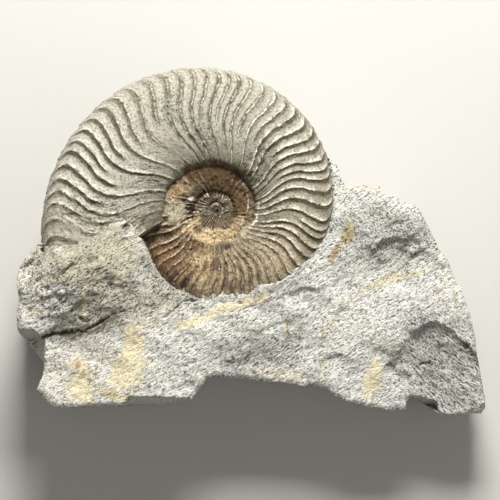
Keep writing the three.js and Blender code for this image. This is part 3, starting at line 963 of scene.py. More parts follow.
    def ribbing(self, angle: np.ndarray, share: np.ndarray) -> tuple[np.ndarray, np.ndarray, np.ndarray]:
        """Gives how deep the ribbing cuts, where dirt and painted shade lie in it, and where the line along a rib's
        back and a painted highlight on a rib's lit side are bright.

        Args:
            angle: growth angles in degrees.
            share: shares of the keel's radius.

        Returns:
            The depth, 0 on a rib's crest and up to about 1 in a groove, and the dirt with painted shade and the line
            with painted highlight, from 0 to 1.
        """
        chance = np.random.default_rng(11)
        count = math.ceil((self.groove_angles[0] - self.spiral.core + 80) / self.inner_rib_spacing)
        gaps = self.inner_rib_spacing * chance.uniform(0.75, 1.3, count)
        grooves = np.concatenate([(self.groove_angles[0] - np.cumsum(gaps))[::-1], self.groove_angles])
        reach_in = np.full(len(grooves), 0.3)
        for short, ends in self.short_grooves:
            reach_in[np.argmin(np.abs(grooves - short))] = ends
        strength = chance.uniform(0.8, 1.1, len(grooves))
        turn = np.radians(angle + table(self.sickle, share) * table(self.sickle_swing, angle))
        reach = share * self.spiral.radius(turn)
        spots = np.column_stack([reach * np.cos(turn), reach * np.sin(turn)]) + self.spiral.centre
        flat = np.column_stack([spots, np.zeros(len(spots))])
        phase = np.interp(angle, grooves, np.arange(len(grooves)))
        phase += self.edge_waver * NOISE.layers(flat, 0.9, 2)
        groove = np.clip(np.rint(phase), 0, len(grooves) - 1).astype(int)
        cut = strength[groove] * smoothstep(table(self.groove_width, angle), 0.02, np.abs(phase - groove))
        cut *= smoothstep(-0.03, 0.05, share - reach_in[groove])
        phase -= self.shade_shift * np.cos(np.radians(angle))
        edge = np.clip(np.rint(phase), 0, len(grooves) - 1).astype(int)
        away = np.minimum(np.abs(phase - edge), 0.5)
        present = smoothstep(-0.03, 0.05, share - reach_in[edge])
        valley = 1 - present * strength[edge] * (1 - np.sin(math.pi * away))
        sharp = table(self.sharp_along, angle)
        depth = sharp * self.sharp_height * valley + (1 - sharp) * cut
        # Painted shade lies at the foot of a sharp rib, on the side away from the light, and dirt and painted shade lie
        # in the valleys and all over a narrow groove
        beyond = (edge - phase) * np.sign(np.cos(np.radians(angle)))
        foot_shade = present * smoothstep(0.0, 0.1, beyond) * smoothstep(0.5, 0.28, beyond) * self.foot_shade_strength
        dirt_and_shade = sharp * np.maximum(foot_shade, table(self.valley_dirt_and_shade, angle) * valley) + (1 - sharp) * cut
        bared = smoothstep(-0.4, 0.4, NOISE.layers(flat, 2.6, 3))
        worn = np.clip(1 - self.rib_wear * bared * table(self.wear_along, angle), 0, 1)
        worn *= 1 - covered(self.filled, spots, 1.4)
        depth *= worn * table(self.depth_across, share) * table(self.depth_along, angle)
        dirt_and_shade *= worn * smoothstep(1.0, 0.96, share) * np.where(angle < -110, 1, smoothstep(0.3, 0.66, share))
        # The bright line along each crest is calcite that shows there and a painted highlight as well
        line = present * smoothstep(0.11, 0.02, away)
        # A painted highlight makes the side of a sharp rib that faces the light paler too
        side = smoothstep(-0.44, -0.22, beyond) * smoothstep(0.06, 0.0, beyond)
        line = np.maximum(line, present * sharp * side * self.lit_side_highlight)
        line *= table(self.line_and_highlight_along, angle) * worn
        line *= smoothstep(-0.5, 0.1, NOISE.layers(flat + 9, 1.6, 3)) * smoothstep(0.995, 0.97, share)
        return depth, dirt_and_shade, line

    def growth_strip(self) -> bpy.types.Object:
        """Makes the strip of growth lines, each a closed section, with the marks that the nodes read.

        Returns:
            The strip, whose points all lie at the origin until the nodes wind it up.
        """
        angles = self.section_angles()
        # The rows lie closer together towards the keel, where the section bends
        span = 1 - self.spiral.seam
        shown = 1 - span * np.linspace(1, 0, self.shown_rows) ** 1.15
        hidden = 1 - span * np.linspace(0, 1, self.hidden_rows)[1:] ** 2
        share = np.tile(np.concatenate([shown, hidden]), len(angles))
        flank = np.tile(np.concatenate([np.ones(len(shown)), -np.ones(len(hidden))]), len(angles))
        size = len(shown) + len(hidden)
        angle = np.repeat(angles, size)
        keel = self.spiral.radius(np.radians(angle))
        around = np.column_stack([np.cos(np.radians(angle)), np.sin(np.radians(angle)), np.ones(len(angle))])
        around *= keel[:, None]
        seam_noise = NOISE.layers(self.spiral.seam * around, 2.2, 3)
        share += self.seam_waver * seam_noise * smoothstep(0.5, self.spiral.seam, share)
        share -= self.keel_waver * np.abs(NOISE.layers(around, 2.6, 3)) * smoothstep(0.92, 1, share)
        faces = [
            (r * size + i, r * size + (i + 1) % size, (r + 1) * size + (i + 1) % size, (r + 1) * size + i)
            for r in range(len(angles) - 1)
            for i in range(size)
        ]
        last = (len(angles) - 1) * size
        faces.append(tuple(range(size))[::-1])
        faces.append(tuple(last + i for i in range(size)))
        depth, dirt_and_shade, line = self.ribbing(angle, share)
        marks = {
            Mark.ANGLE: np.radians(angle),
            Mark.SHARE: share,
            Mark.FLANK: flank,
            Mark.GROOVE: depth,
            Mark.DIRT_AND_SHADE: dirt_and_shade,
            Mark.LINE: line,
            Mark.SWING: table(self.sickle_swing, angle),
        }
        return mesh_object("ammonite_shell", np.zeros((len(angle), 3)), faces, marks)

    def winding_tree(self) -> bpy.types.NodeTree:
        """Builds the nodes that wind the strip along the spiral.

        Returns:
            The node tree, with a named input for each size.
        """
        tree = bpy.data.node_groups.new("wind_along_spiral", "GeometryNodeTree")
        tree.interface.new_socket("Geometry", in_out="OUTPUT", socket_type="NodeSocketGeometry")
        tree.interface.new_socket("Geometry", in_out="INPUT", socket_type="NodeSocketGeometry")
        for name, kind in (
            ("Coil Centre", "NodeSocketVector"),
            ("Keel Radius", "NodeSocketFloat"),
            ("Growth", "NodeSocketFloat"),
            ("Rib Depth", "NodeSocketFloat"),
            ("Wear Depth", "NodeSocketFloat"),
            ("Wear Size", "NodeSocketFloat"),
            ("Finish", "NodeSocketMaterial"),
        ):
            tree.interface.new_socket(name, in_out="INPUT", socket_type=kind)
        given = add_node(tree, "NodeGroupInput").outputs
        marks = {
            mark: add_node(tree, "GeometryNodeInputNamedAttribute", {"Name": mark.value}, data_type="FLOAT").outputs[0]
            for mark in (Mark.ANGLE, Mark.SHARE, Mark.FLANK, Mark.GROOVE, Mark.SWING)
        }
        lowest = min(swing for _, swing in self.sickle)
        span = max(swing for _, swing in self.sickle) - lowest
        sickle = add_node(
            tree,
            "ShaderNodeFloatCurve",
            {"Value": marks[Mark.SHARE]},
            curve=[(share, (swing - lowest) / span) for share, swing in self.sickle],
        ).outputs[0]
        degrees = add_node(
            tree, "ShaderNodeMath", {0: sickle, 1: span, 2: lowest}, operation="MULTIPLY_ADD"
        ).outputs[0]
        swing = add_node(tree, "ShaderNodeMath", {0: degrees}, operation="RADIANS").outputs[0]
        turned = add_node(
            tree, "ShaderNodeMath", {0: swing, 1: marks[Mark.SWING], 2: marks[Mark.ANGLE]}, operation="MULTIPLY_ADD"
        ).outputs[0]
        power = add_node(tree, "ShaderNodeMath", {0: turned, 1: given["Growth"]}, operation="MULTIPLY").outputs[0]
        grown = add_node(tree, "ShaderNodeMath", {0: power}, operation="EXPONENT").outputs[0]
        radius = add_node(tree, "ShaderNodeMath", {0: grown, 1: given["Keel Radius"]}, operation="MULTIPLY").outputs[0]
        reach = add_node(tree, "ShaderNodeMath", {0: radius, 1: marks[Mark.SHARE]}, operation="MULTIPLY").outputs[0]
        cosine = add_node(tree, "ShaderNodeMath", {0: turned}, operation="COSINE").outputs[0]
        sine = add_node(tree, "ShaderNodeMath", {0: turned}, operation="SINE").outputs[0]
        across = add_node(tree, "ShaderNodeMath", {0: reach, 1: cosine}, operation="MULTIPLY").outputs[0]
        up = add_node(tree, "ShaderNodeMath", {0: reach, 1: sine}, operation="MULTIPLY").outputs[0]
        half = add_node(
            tree,
            "ShaderNodeFloatCurve",
            {"Value": marks[Mark.SHARE]},
            curve=[(share, 4 * thick) for share, thick in self.spiral.section],
        ).outputs[0]
        smooth = add_node(tree, "ShaderNodeMath", {0: half, 1: 0.25}, operation="MULTIPLY").outputs[0]
        cut = add_node(
            tree, "ShaderNodeMath", {0: marks[Mark.GROOVE], 1: given["Rib Depth"]}, operation="MULTIPLY"
        ).outputs[0]
        ribbed = add_node(tree, "ShaderNodeMath", {0: smooth, 1: cut}, operation="SUBTRACT").outputs[0]
        sided = add_node(tree, "ShaderNodeMath", {0: ribbed, 1: marks[Mark.FLANK]}, operation="MULTIPLY").outputs[0]
        high = add_node(tree, "ShaderNodeMath", {0: sided, 1: radius}, operation="MULTIPLY").outputs[0]
        place = add_node(tree, "ShaderNodeCombineXYZ", {0: across, 1: up, 2: high}).outputs[0]
        centred = add_node(
            tree, "ShaderNodeVectorMath", {0: place, 1: given["Coil Centre"]}, operation="ADD"
        ).outputs[0]
        wound = add_node(
            tree, "GeometryNodeSetPosition", {"Geometry": given["Geometry"], "Position": centred}
        ).outputs[0]
        # Weathering takes uneven bites out of the surface
        fineness = add_node(tree, "ShaderNodeMath", {0: 1.0, 1: given["Wear Size"]}, operation="DIVIDE").outputs[0]
        bites = add_node(tree, "ShaderNodeTexNoise", {"Scale": fineness, "Detail": 3.0, "Roughness": 0.6}).outputs[0]
        sunk = add_node(tree, "ShaderNodeMath", {0: bites, 1: 0.5}, operation="SUBTRACT").outputs[0]
        depth = add_node(tree, "ShaderNodeMath", {0: sunk, 1: given["Wear Depth"]}, operation="MULTIPLY").outputs[0]
        outward = add_node(tree, "GeometryNodeInputNormal").outputs[0]
        offset = add_node(
            tree, "ShaderNodeVectorMath", {0: outward, "Scale": depth}, operation="SCALE"
        ).outputs[0]
        worn = add_node(tree, "GeometryNodeSetPosition", {"Geometry": wound, "Offset": offset}).outputs[0]
        real = add_node(tree, "GeometryNodeRealizeInstances", {"Geometry": worn}).outputs[0]
        dressed = add_node(
            tree, "GeometryNodeSetMaterial", {"Geometry": real, "Material": given["Finish"]}
        ).outputs[0]
        add_node(tree, "NodeGroupOutput", {"Geometry": dressed})
        return tree

    def wind(self, strip: bpy.types.Object) -> bpy.types.Object:
        """Winds the strip up and makes the result a plain mesh.

        Args:
            strip: the strip of growth lines.

        Returns:
            The same object, with the shell as its mesh and no modifier.
        """
        tree = self.winding_tree()
        modifier = strip.modifiers.new("winding", "NODES")
        modifier.node_group = tree
        sizes = {
            "Coil Centre": tuple(c * MM for c in (*self.spiral.centre, self.spiral.mid_plane)),
            "Keel Radius": self.spiral.keel_radius * MM,
            "Growth": self.spiral.growth,
            "Rib Depth": self.rib_depth,
            "Wear Depth": self.wear_depth * MM,
            "Wear Size": self.wear_size * MM,
            "Finish": self.finish.material(),
        }
        for item in tree.interface.items_tree:
            if item.in_out == "INPUT" and item.name in sizes:
                modifier[item.identifier] = sizes[item.name]
        ready = strip.evaluated_get(bpy.context.evaluated_depsgraph_get())
        mesh = bpy.data.meshes.new_from_object(ready)
        strip.modifiers.clear()
        strip.data = mesh
        return strip

    def stain(self, shell: bpy.types.Object) -> None:
        """Marks the coloured patches, some of them painted shade, on the wound shell, and gives its crust lumps."""
        mesh = shell.data
        flat = np.empty(len(mesh.vertices) * 3, np.float32)
        mesh.vertices.foreach_get("co", flat)
        points = flat.reshape(-1, 3).astype(float) / MM
        mesh.vertex_normals.foreach_get("vector", flat)
        outward = flat.reshape(-1, 3).astype(float)
        spots = points[:, :2]
        for mark, patches in self.stains:
            values = covered(patches, spots, 1.4).astype(np.float32)
            if mark is Mark.CRUST:
                upper = smoothstep(0, 1, points[:, 2] - self.spiral.mid_plane)
                lumps = NOISE.facets(spots + 60, 1.1, 0.7, 35) + 0.8 * NOISE.layers(points, 0.9, 2)
                points += (self.crust_height * lumps * values * upper)[:, None] * outward
                mesh.vertices.foreach_set("co", (points * MM).ravel())
            layer = mesh.attributes.get(mark.value) or mesh.attributes.new(mark.value, "FLOAT", "POINT")
            present = np.empty(len(values), np.float32)
            layer.data.foreach_get("value", present)
            layer.data.foreach_set("value", np.maximum(values, present))

    def build(self) -> bpy.types.Object:
        """Makes the finished shell."""
        shell = self.wind(self.growth_strip())
        self.stain(shell)
        shell.data.shade_smooth()
        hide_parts("ammonite")
        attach(shell, "root")
        return shell


# The rock


@dataclass(frozen=True)
class Ledge:
    """A step in the rock's face: its edge with the low side on the left, its drop along it, and its width."""

    line: Points
    drops: tuple[float, ...]
    width: float
    fade: float
    raggedness: float = 0.3

    def fall(self, spots: np.ndarray) -> np.ndarray:
        """How far the step lowers the face: sharply from its edge on the low side, and not on the high side."""
        flat = np.column_stack([spots, np.zeros(len(spots))])
        waver = np.column_stack([NOISE.layers(flat + 70, 2.4, 3), NOISE.layers(flat + 90, 2.4, 3)])
        distance, side, share = nearest_on_line(self.line, spots + self.raggedness * waver)
        drop = np.interp(share, np.linspace(0, 1, len(self.drops)), self.drops)
        lowered = drop * (1 - np.exp(-distance / self.width)) * np.exp(-distance / self.fade)
        return np.where(side > 0, lowered, 0)


@dataclass(frozen=True)
class Chip:
    """A steep broken face at the rim: its upper edge with the low side on the right, reach, height, fall and floor."""

    start: tuple[float, float]
    end: tuple[float, float]
    reach: float
    height: float
    fall: float
    floor: float
    side_rise: float = 8.0
    clear: float = 35.0  # above all the rock

    def face(self, spots: np.ndarray) -> np.ndarray:
        """Height of the broken face, far above the rock where the chip isn't."""
        run = np.subtract(self.end, self.start)
        length = np.hypot(*run)
        offset = spots - self.start
        along = offset @ run / length
        beyond = (offset[:, 0] * run[1] - offset[:, 1] * run[0]) / length
        outside = np.maximum.reduce([-along, along - length, beyond - self.reach, np.zeros(len(spots))])
        sunk = np.maximum(self.height - self.fall * beyond, self.floor)
        return sunk + self.side_rise * outside + np.where(beyond < 0, self.clear, 0)


@dataclass(frozen=True)
class ShellRing:
    """A tiny broken shell in the rock that shows as a ring with a gap: its middle, radius and height."""

    middle: tuple[float, float] = (40.0, -18.0)
    radius: float = 0.88
    half_width: float = 0.17
    height: float = 0.35
    hollow: float = 0.25
    gap_turn: float = 130.0  # the way that the gap faces, in degrees from +X
    gap_reach: float = 70.0

    def rim(self, spots: np.ndarray) -> np.ndarray:
        """Gives 1 on the ring and 0 off it."""
        offset = spots - self.middle
        away = np.hypot(*offset.T) - self.radius
        turn = np.degrees(np.arctan2(offset[:, 1], offset[:, 0])) - self.gap_turn
        from_gap = np.abs((turn + 180) % 360 - 180)
        return np.exp(-((away / self.half_width) ** 2)) * smoothstep(self.gap_reach - 15, self.gap_reach + 15, from_gap)

    def inside(self, spots: np.ndarray) -> np.ndarray:
        """Gives 1 in the ring's hollow and 0 outside it."""
        return smoothstep(0.85 * self.radius, 0.3 * self.radius, np.hypot(*(spots - self.middle).T))

    def relief(self, spots: np.ndarray) -> np.ndarray:
        """Height that the ring and its hollow add to the rock."""
        return self.height * self.rim(spots) - self.hollow * self.inside(spots)


@dataclass
class Rock:
    """The piece of limestone: a face over an outline, with broken walls down to a flat back."""

    spiral: Spiral
    finish: LimestoneFinish
    spacing: float = 0.28  # between the points of the face
    hidden_spacing: float = 1.4  # between them under the shell
    wall_spacing: float = 0.75
    rim_round: float = 0.5
    rim_waver: float = 0.12
    middle: tuple[float, float] = (0.0, -8.0)
    # How far the wall leans in at a height, as a share of the distance from the rock's middle
    lean: Points = ((0, 0.1), (2.2, 0.06), (6.5, 0.035), (11.5, 0.03), (16, 0.0))
    shelf_share: float = 0.93  # the rock under the shell's free edge reaches this share of the keel's radius
    shelf_undercut: float = 0.09
    free_edge: tuple[float, float] = (30, 190)
    bare_keel: tuple[float, float] = (-11, 193)
    survey_reach: float = 3.6
    fall_under_shell: float = 0.7
    rise_over_shell: float = 0.3
    ease_from_shell: float = 0.6
    contact_waver: float = 0.45
    outline: Points = (
        (-39.2, -1.0), (-39.9, -1.7), (-40.6, -2.7), (-42, -4), (-43.3, -6), (-43.9, -8), (-43.7, -9.8), (-43.2, -12),
        (-43.6, -13.8), (-43.6, -16), (-43.2, -18.9), (-42.2, -20.6), (-40.4, -22.4), (-38.6, -23.9), (-38.5, -26),
        (-39, -27.3), (-39.6, -29), (-38.2, -30.3), (-37, -31.5), (-35.5, -32), (-32, -31.9), (-29, -31.6),
        (-25.5, -31.3), (-22, -31.5), (-18, -31.2), (-15, -30.7), (-12.5, -30), (-10.8, -29.6), (-10, -28.3),
        (-8.8, -27), (-8.2, -25.4), (-6.5, -25.2), (-3.3, -25.6), (-1.5, -25.4), (2, -25.9), (6, -26),
        (10.2, -26.7), (11.2, -26.3), (14.4, -26.9), (16, -28.4), (18.5, -29.2), (22, -30), (26.5, -30.6),
        (29.1, -30.4), (29.2, -28.8), (30, -27.8), (31.7, -28.5), (33.6, -29.7), (34.7, -30.6), (36.1, -31.2),
        (39.8, -31.1), (41.3, -30.6), (43.4, -30.6), (44, -29.6), (44, -27.6), (43.5, -25.6), (43, -23.6),
        (42.2, -20), (41.5, -16), (40.8, -13.5), (40, -11), (39.2, -9), (38.8, -7.4), (37.7, -6.4), (36.8, -4.2),
        (35.9, -2.2), (34.8, -0.8), (33.9, 0.2), (33.2, 2), (32, 4), (31, 5.4), (30.2, 7), (29.4, 8.1), (27.6, 8.3),
        (26, 9), (24, 9.8), (22.5, 11.1), (20.5, 11), (19.4, 11.3), (18.3, 10.8), (16.6, 10.9), (15.6, 11.9),
        (14.9, 14), (14.4, 15), (12.9, 16.1),
    )
    # Where the rock's face meets the shell, from the left edge of the shell to the right one
    contact: Points = (
        (-39.6, -2.2), (-36, -2), (-33, -1.6), (-30.5, -0.4), (-28, 1), (-25.5, 2.6), (-23, 2.6), (-21.5, 0.8),
        (-20.3, -1.2), (-19.6, -3.2), (-18.6, -5.2), (-17.4, -6.9), (-15.8, -8.3), (-14.2, -9.4), (-12.4, -9.6),
        (-11.8, -10.4), (-9.8, -10.8), (-8.2, -10.4), (-6.2, -10.1), (-4, -9.8), (-2, -9.9), (-0.3, -9.2),
        (0.2, -8.1), (2.2, -7.7), (4.6, -7.1), (6.4, -6), (8, -4.7), (9.3, -3.7), (10.4, -2.4), (11.2, -1),
        (12.3, 0.2),
    )
    # Spot heights of the face: across, up the face, and height over the resting surface
    spot_heights: Points = (
        # the shoulder at the left, which slopes down to the slab
        (-42, -6, 25.9), (-37, -5, 29.7), (-32, -7, 32.8), (-32, -10.5, 31.3), (-27, -6.5, 31.7), (-27, -9.5, 30.1),
        (-22, -5, 28.5), (-20, -9, 26.9), (-22, -10.5, 26.9), (-42, -12, 26.5), (-37, -10, 29.7), (-42, -17, 25.3),
        (-37, -14.5, 27.5), (-32, -14, 28.3), (-27, -12.5, 27.7), (-37, -2.5, 28.5), (-30, -2, 30.3), (-24, 0, 28.9),
        (-37, -18, 25.3), (-31.5, -17, 25.5), (-26.5, -15.2, 25.7), (-22, -12.6, 25.7),
        # the slab below it
        (-36, -21, 24.1), (-30, -21, 24.3), (-24, -18, 24.5), (-18, -15, 24.8), (-36, -27, 24), (-30, -27, 24.2),
        (-24, -26, 24.3), (-18, -24, 24.2), (-13, -27, 22.5), (-35, -31, 22.9), (-26, -30, 23.3), (-14, -20, 24.6),
        (-16, -12, 25), (-10, -14, 24.9),
        # the face below the shell
        (-5, -12, 24.5), (0, -11, 24.5), (-5, -17, 23.9), (0, -18, 22.7), (5, -16, 22.1), (-5, -23, 21.3), (3, -24, 19.9),
        (8, -20, 20.7), (8, -12, 22.9), (8, -7, 24.7), (12, -4, 24.1), (-9, -19, 24.3),
        # the bench at the right
        (15, 2, 22.9), (15, 9, 23.5), (18, 7, 23.9), (24, 8, 23.5), (28, 6, 22.9), (21, 3, 22.9), (27, 3, 22.5),
        (26, -2, 20.7), (20, -3, 21.5), (30, -3, 20.1), (33, 0, 19.7), (36, -5, 19.7), (28, -8, 20.9), (21, -9, 21.5),
        (15, -10, 22.3), (36, -10, 20.5), (29, -12, 21.3), (39, -14, 19.7), (23, -17, 21.7), (16, -20, 21.5),
        (16, -26, 19.9), (20, -24, 20.9), (22, -29, 18.9),
        # the hollow at the foot
        (33, -17, 19.1), (37, -20, 17.9), (30, -21, 18.5), (41, -26, 15.9), (35, -27, 15.7), (27, -27, 17.9), (42, -22, 17.1),
        (28, -24, 18.3), (28, -15, 21.3), (34, -12.5, 21.1), (38.5, -16, 19.5), (40, -30, 14.3), (35, -22.5, 16.9),
    )
    ledges: tuple[Ledge, ...] = (
        Ledge(
            (
                (-17, -12), (-20.5, -12.5), (-24, -13.6), (-26.5, -14.8), (-28.3, -16.2), (-30.5, -17.3),
                (-33, -17.8), (-36.5, -18.3), (-38.5, -19), (-43.6, -20),
            ),
            (0.2, 0.8, 1.4),
            0.4,
            4.0,
        ),
        Ledge(
            (
                (33.4, -1.6), (32, -0.3), (30.6, 1), (29.2, 2.1), (27.3, 1.7), (24.9, 1.7), (22.6, 1), (19, -0.8),
                (15.5, -2.8),
            ),
            (0.5, 3.4, 0.6),
            2.2,
            6.0,
        ),
        Ledge(
            (
                (38.6, -16.4), (36.2, -14.3), (34, -13.5), (31.7, -14.1), (29.2, -15.9), (27, -19.9),
                (24.8, -22.5), (24, -24.8),
            ),
            (1.8, 3.0, 3.4, 2.4, 1.0, 0.6, 0.4),
            1.5,
            5.0,
        ),
        Ledge(((14, -7.2), (12, -8), (9.5, -8.1), (6, -9.2), (2.5, -10.6), (-1, -11.6)), (0.3, 1.0, 0.2), 0.6, 3.0),
    )
    # Cracks, sunk into the face and darkened with painted shade
    cracks: tuple[Vein, ...] = (
        Vein(((-16.2, -14.4), (-14.6, -13), (-13.4, -11.8), (-11.8, -11.2), (-10.6, -11.2)), 0.2, 0.5),
        Vein(((-38.6, -18.9), (-36.6, -18.2), (-33, -17.6)), 0.42, 1.0),
        Vein(((-33, -17.6), (-30.5, -17.2), (-28.6, -16.2), (-26.4, -14.6)), 0.26, 0.8),
        Vein(((-26.4, -14.6), (-24.4, -13.6), (-21.5, -12.7), (-18.6, -12.3)), 0.16, 0.5),
        Vein(((31.2, -22.1), (31.9, -21.5), (32.6, -21.3), (33.3, -21.6), (33.8, -22.2)), 0.22, 0.5),
        Vein(((-24.7, 1.9), (-23.5, 2.2)), 0.4, 0.7),
        Vein(((25.2, -22.0), (26.4, -22.9), (27.6, -23.2), (28.4, -24.0), (29.5, -24.3)), 0.5, 0.4),
    )
    shell_ring: ShellRing = ShellRing()
    ring_reach: float = 1.5
    # Where the broken face is rougher than elsewhere, by its relief or by its grain, and where it is smoother
    rugged: tuple[Stain, ...] = (Stain((-35, -8.5), (10, 8)), Stain((25, -1), (6, 2.5)))
    rough: tuple[Stain, ...] = (
        Stain((-33, -11), (13, 7)),
        Stain((24, 2), (12, 6)),
        Stain((35, -22), (10, 9), -35),
        Stain((3, -21), (8, 4), 20),
        Stain((-15, -9), (6, 3), -30),
    )
    # Where the grain falls to the right instead of rising
    falling: tuple[Stain, ...] = (Stain((37, -22), (11, 10), -40), Stain((24, 3), (11, 5), -10, 0.6))
    calm: tuple[Stain, ...] = (Stain((-27, -25), (15, 8)), Stain((-20, -7), (5, 5)))
    chips: tuple[Chip, ...] = (
        Chip((-22.2, -29.6), (-11.5, -29.5), 4, 21.5, 5.5, 10.9),
        Chip((-38.5, -19.6), (-38.5, -25), 6, 21.4, 5, 11.4),
        Chip((31.2, -27.9), (34.9, -28.4), 3, 16.4, 4, 8.9),
    )
    stains: tuple[tuple[Mark, tuple[Stain | Vein, ...]], ...] = (
        (
            Mark.PALE_AND_LIT,
            (
                # Partly painted light: the slab below the shoulder and the shoulder's left side are lightened where
                # they lie in shade
                Stain((-36, -26), (4, 7), 0, 0.6),
                Stain((-28, -25), (12, 6), 0, 0.5),
                Stain((-18, -15), (5, 2.4), 30, 0.5),
                Stain((-41, -10), (4, 8), 0, 1.0),
                Stain((-4, -15), (6, 3), 10, 0.5),
            ),
        ),
        (
            Mark.TAN,
            (
                Stain((-29.5, -4), (11.5, 7), 5, 0.9),
                Stain((-24, -13), (14, 5), 20, 0.6),
                Stain((-30, -24), (10, 7), 0, 0.1),
            ),
        ),
        (
            Mark.CREAM,
            (
                Vein(((-13.5, -15.9), (-8.9, -14.4), (-4.3, -11.9), (0.3, -10.6), (2.6, -9.9)), 1.1, 0.8),
                Stain((-21.8, -19.6), (2.3, 3.7), 4, 1.0),
                Stain((-23.6, -25.5), (3.6, 2.6), 25, 0.9),
                Stain((-31.4, -28.4), (2.2, 3.6), 6, 1.0),
                Stain((-32.4, -23.6), (2.2, 1.6), 20, 0.7),
                Stain((22.6, -25), (1.9, 4.2), -14, 0.9),
                Stain((17.4, 3.2), (1.0, 0.6), 70, 0.6),
                Stain((-25.2, -9), (0.8, 1.4), 0, 0.7),
                Stain((-34.8, -3.4), (1.8, 0.5), 38, 0.5),
                Stain((-41, -14.2), (1.8, 0.8), -10, 0.5),
                Stain((5, -24.5), (6.5, 1.4), -8, 0.4),
                Vein(((-30.8, -9.5), (-31.2, -12), (-31, -14.2)), 0.7, 0.8),
            ),
        ),
        (
            Mark.OCHRE,
            (
                Stain((17.1, 2.6), (2.2, 1.3), 78, 0.95),
                Stain((14.4, -2.2), (1.5, 0.8), 70, 0.9),
                Vein(((17, 2), (15.6, 0), (14.4, -2.2)), 0.6, 0.8),
                Stain((19.5, 10.6), (4.4, 0.6), 2, 0.5),
                Stain((-25.8, -29.2), (3.4, 0.9), -12, 0.8),
                Stain((-22.6, -24.4), (3.4, 4.4), 15, 0.6),
                Stain((-31.2, -27.6), (2.8, 4.4), 6, 0.6),
                Stain((-32, -24), (0.6, 0.8), 0, 0.5),
                Vein(((6.6, -14), (6.3, -16.4), (6.5, -18.4)), 0.4, 0.7),
                Vein(((30, -4.8), (28, -5.4), (25.6, -6), (23.4, -7), (21.6, -7.8)), 0.9, 0.55),
                Vein(
                    (
                        (35, -3), (30, -5), (26, -5.8), (22, -7.5), (18, -10), (16, -12.5), (13.5, -16), (12.7, -20),
                        (13, -24), (14.5, -26),
                    ),
                    0.45,
                    0.5,
                ),
                Vein(((20.5, -11), (20, -16), (18.3, -20), (18, -24)), 0.3, 0.35),
                Vein(((35, -4), (37, -8), (38, -12)), 0.4, 0.5),
            ),
        ),
        (
            Mark.RUST,
            (
                Stain((14.6, -1.6), (1.2, 0.5), 66, 0.45),
                Stain((16.8, 1.2), (0.9, 0.5), 70, 0.4),
                Stain((-32, -24), (0.7, 0.9), 0, 0.7),
                Stain((-31, -25.4), (0.5, 0.6), 0, 0.6),
                Vein(((34, -7), (34.7, -9), (35.4, -10.5)), 0.25, 0.6),
                Vein(((6.6, -15), (6.5, -18)), 0.3, 0.5),
            ),
        ),
        (
            Mark.DARK,
            (
                # Several of these are painted shade: below the bench's edge, on the bench, in the hollow under its
                # ledge, and on the shoulder's front, which faces away from the light
                Stain((-26.6, -7.2), (1.3, 0.9), 20, 0.9),
                Stain((-24, 2), (0.9, 0.6), 10, 0.9),
                Stain((8.8, -16), (0.7, 0.5), 0, 0.8),
                Stain((-31, -0.6), (8, 2.4), 18, 0.35),
                Stain((24, -3.4), (8, 2.8), 12, 0.3),
                Stain((22, 5), (7, 3.4), 5, 0.15),
                Stain((39.5, -26), (4, 4), 0, 0.1),
                Stain((-2, -19), (7, 3.6), 25, 0.25),
                Stain((34, -20), (6, 4.4), -35, 0.4),
                Stain((-29, -14.4), (5.2, 1.9), 22, 0.28),
            ),
        ),
    )

    def bare_shell(self) -> list[tuple[float, float]]:
        """Outline of the part of the shell that stands free of the rock."""
        return [*self.contact, *self.spiral.keel(*self.bare_keel, 4, 1)]

    def rim(self) -> np.ndarray:
        """Points round the rock's rim, a face's spacing apart and a little ragged.

        Returns:
            Rows of x and y, anticlockwise.
        """
        corners = np.array([*self.outline, *self.spiral.keel(*self.free_edge, 8, self.shelf_share)])
        runs = np.roll(corners, -1, axis=0) - corners
        lengths = np.hypot(*runs.T)
        steps = np.cumsum(np.insert(lengths, 0, 0))
        count = round(steps[-1] / (self.spacing * 1.15))
        places = np.linspace(0, steps[-1], count, endpoint=False)
        closed = np.vstack([corners, corners[:1]])
        spots = np.column_stack([np.interp(places, steps, closed[:, i]) for i in (0, 1)])
        ragged = np.column_stack([spots, np.full(len(spots), 20.9)])
        shift = np.column_stack([NOISE.layers(ragged, 1.6, 3), NOISE.layers(ragged + 50, 1.6, 3)])
        return spots + self.rim_waver * shift

    def surveyed(self, spots: np.ndarray) -> np.ndarray:
        """Spot heights blended into one smooth surface."""
        total = np.zeros(len(spots))
        weights = np.full(len(spots), 1e-9)
        for x, y, height in self.spot_heights:
            away = (spots[:, 0] - x) ** 2 + (spots[:, 1] - y) ** 2
            weight = np.exp(-away / (2 * self.survey_reach**2)) + 1e-7
            total += weight * height
            weights += weight
        return total / weights

    def swells(self, spots: np.ndarray) -> np.ndarray:
        """Gentle swells of the broken face, the ones that the solid has."""
        x, y = spots.T
        long_swell = 0.14 * np.sin(0.55 * x + 0.8 * y + 1.3)
        return long_swell + 0.08 * np.sin(0.9 * x - 0.5 * y) + 0.06 * np.sin(1.3 * y + 0.4 * x + 2)

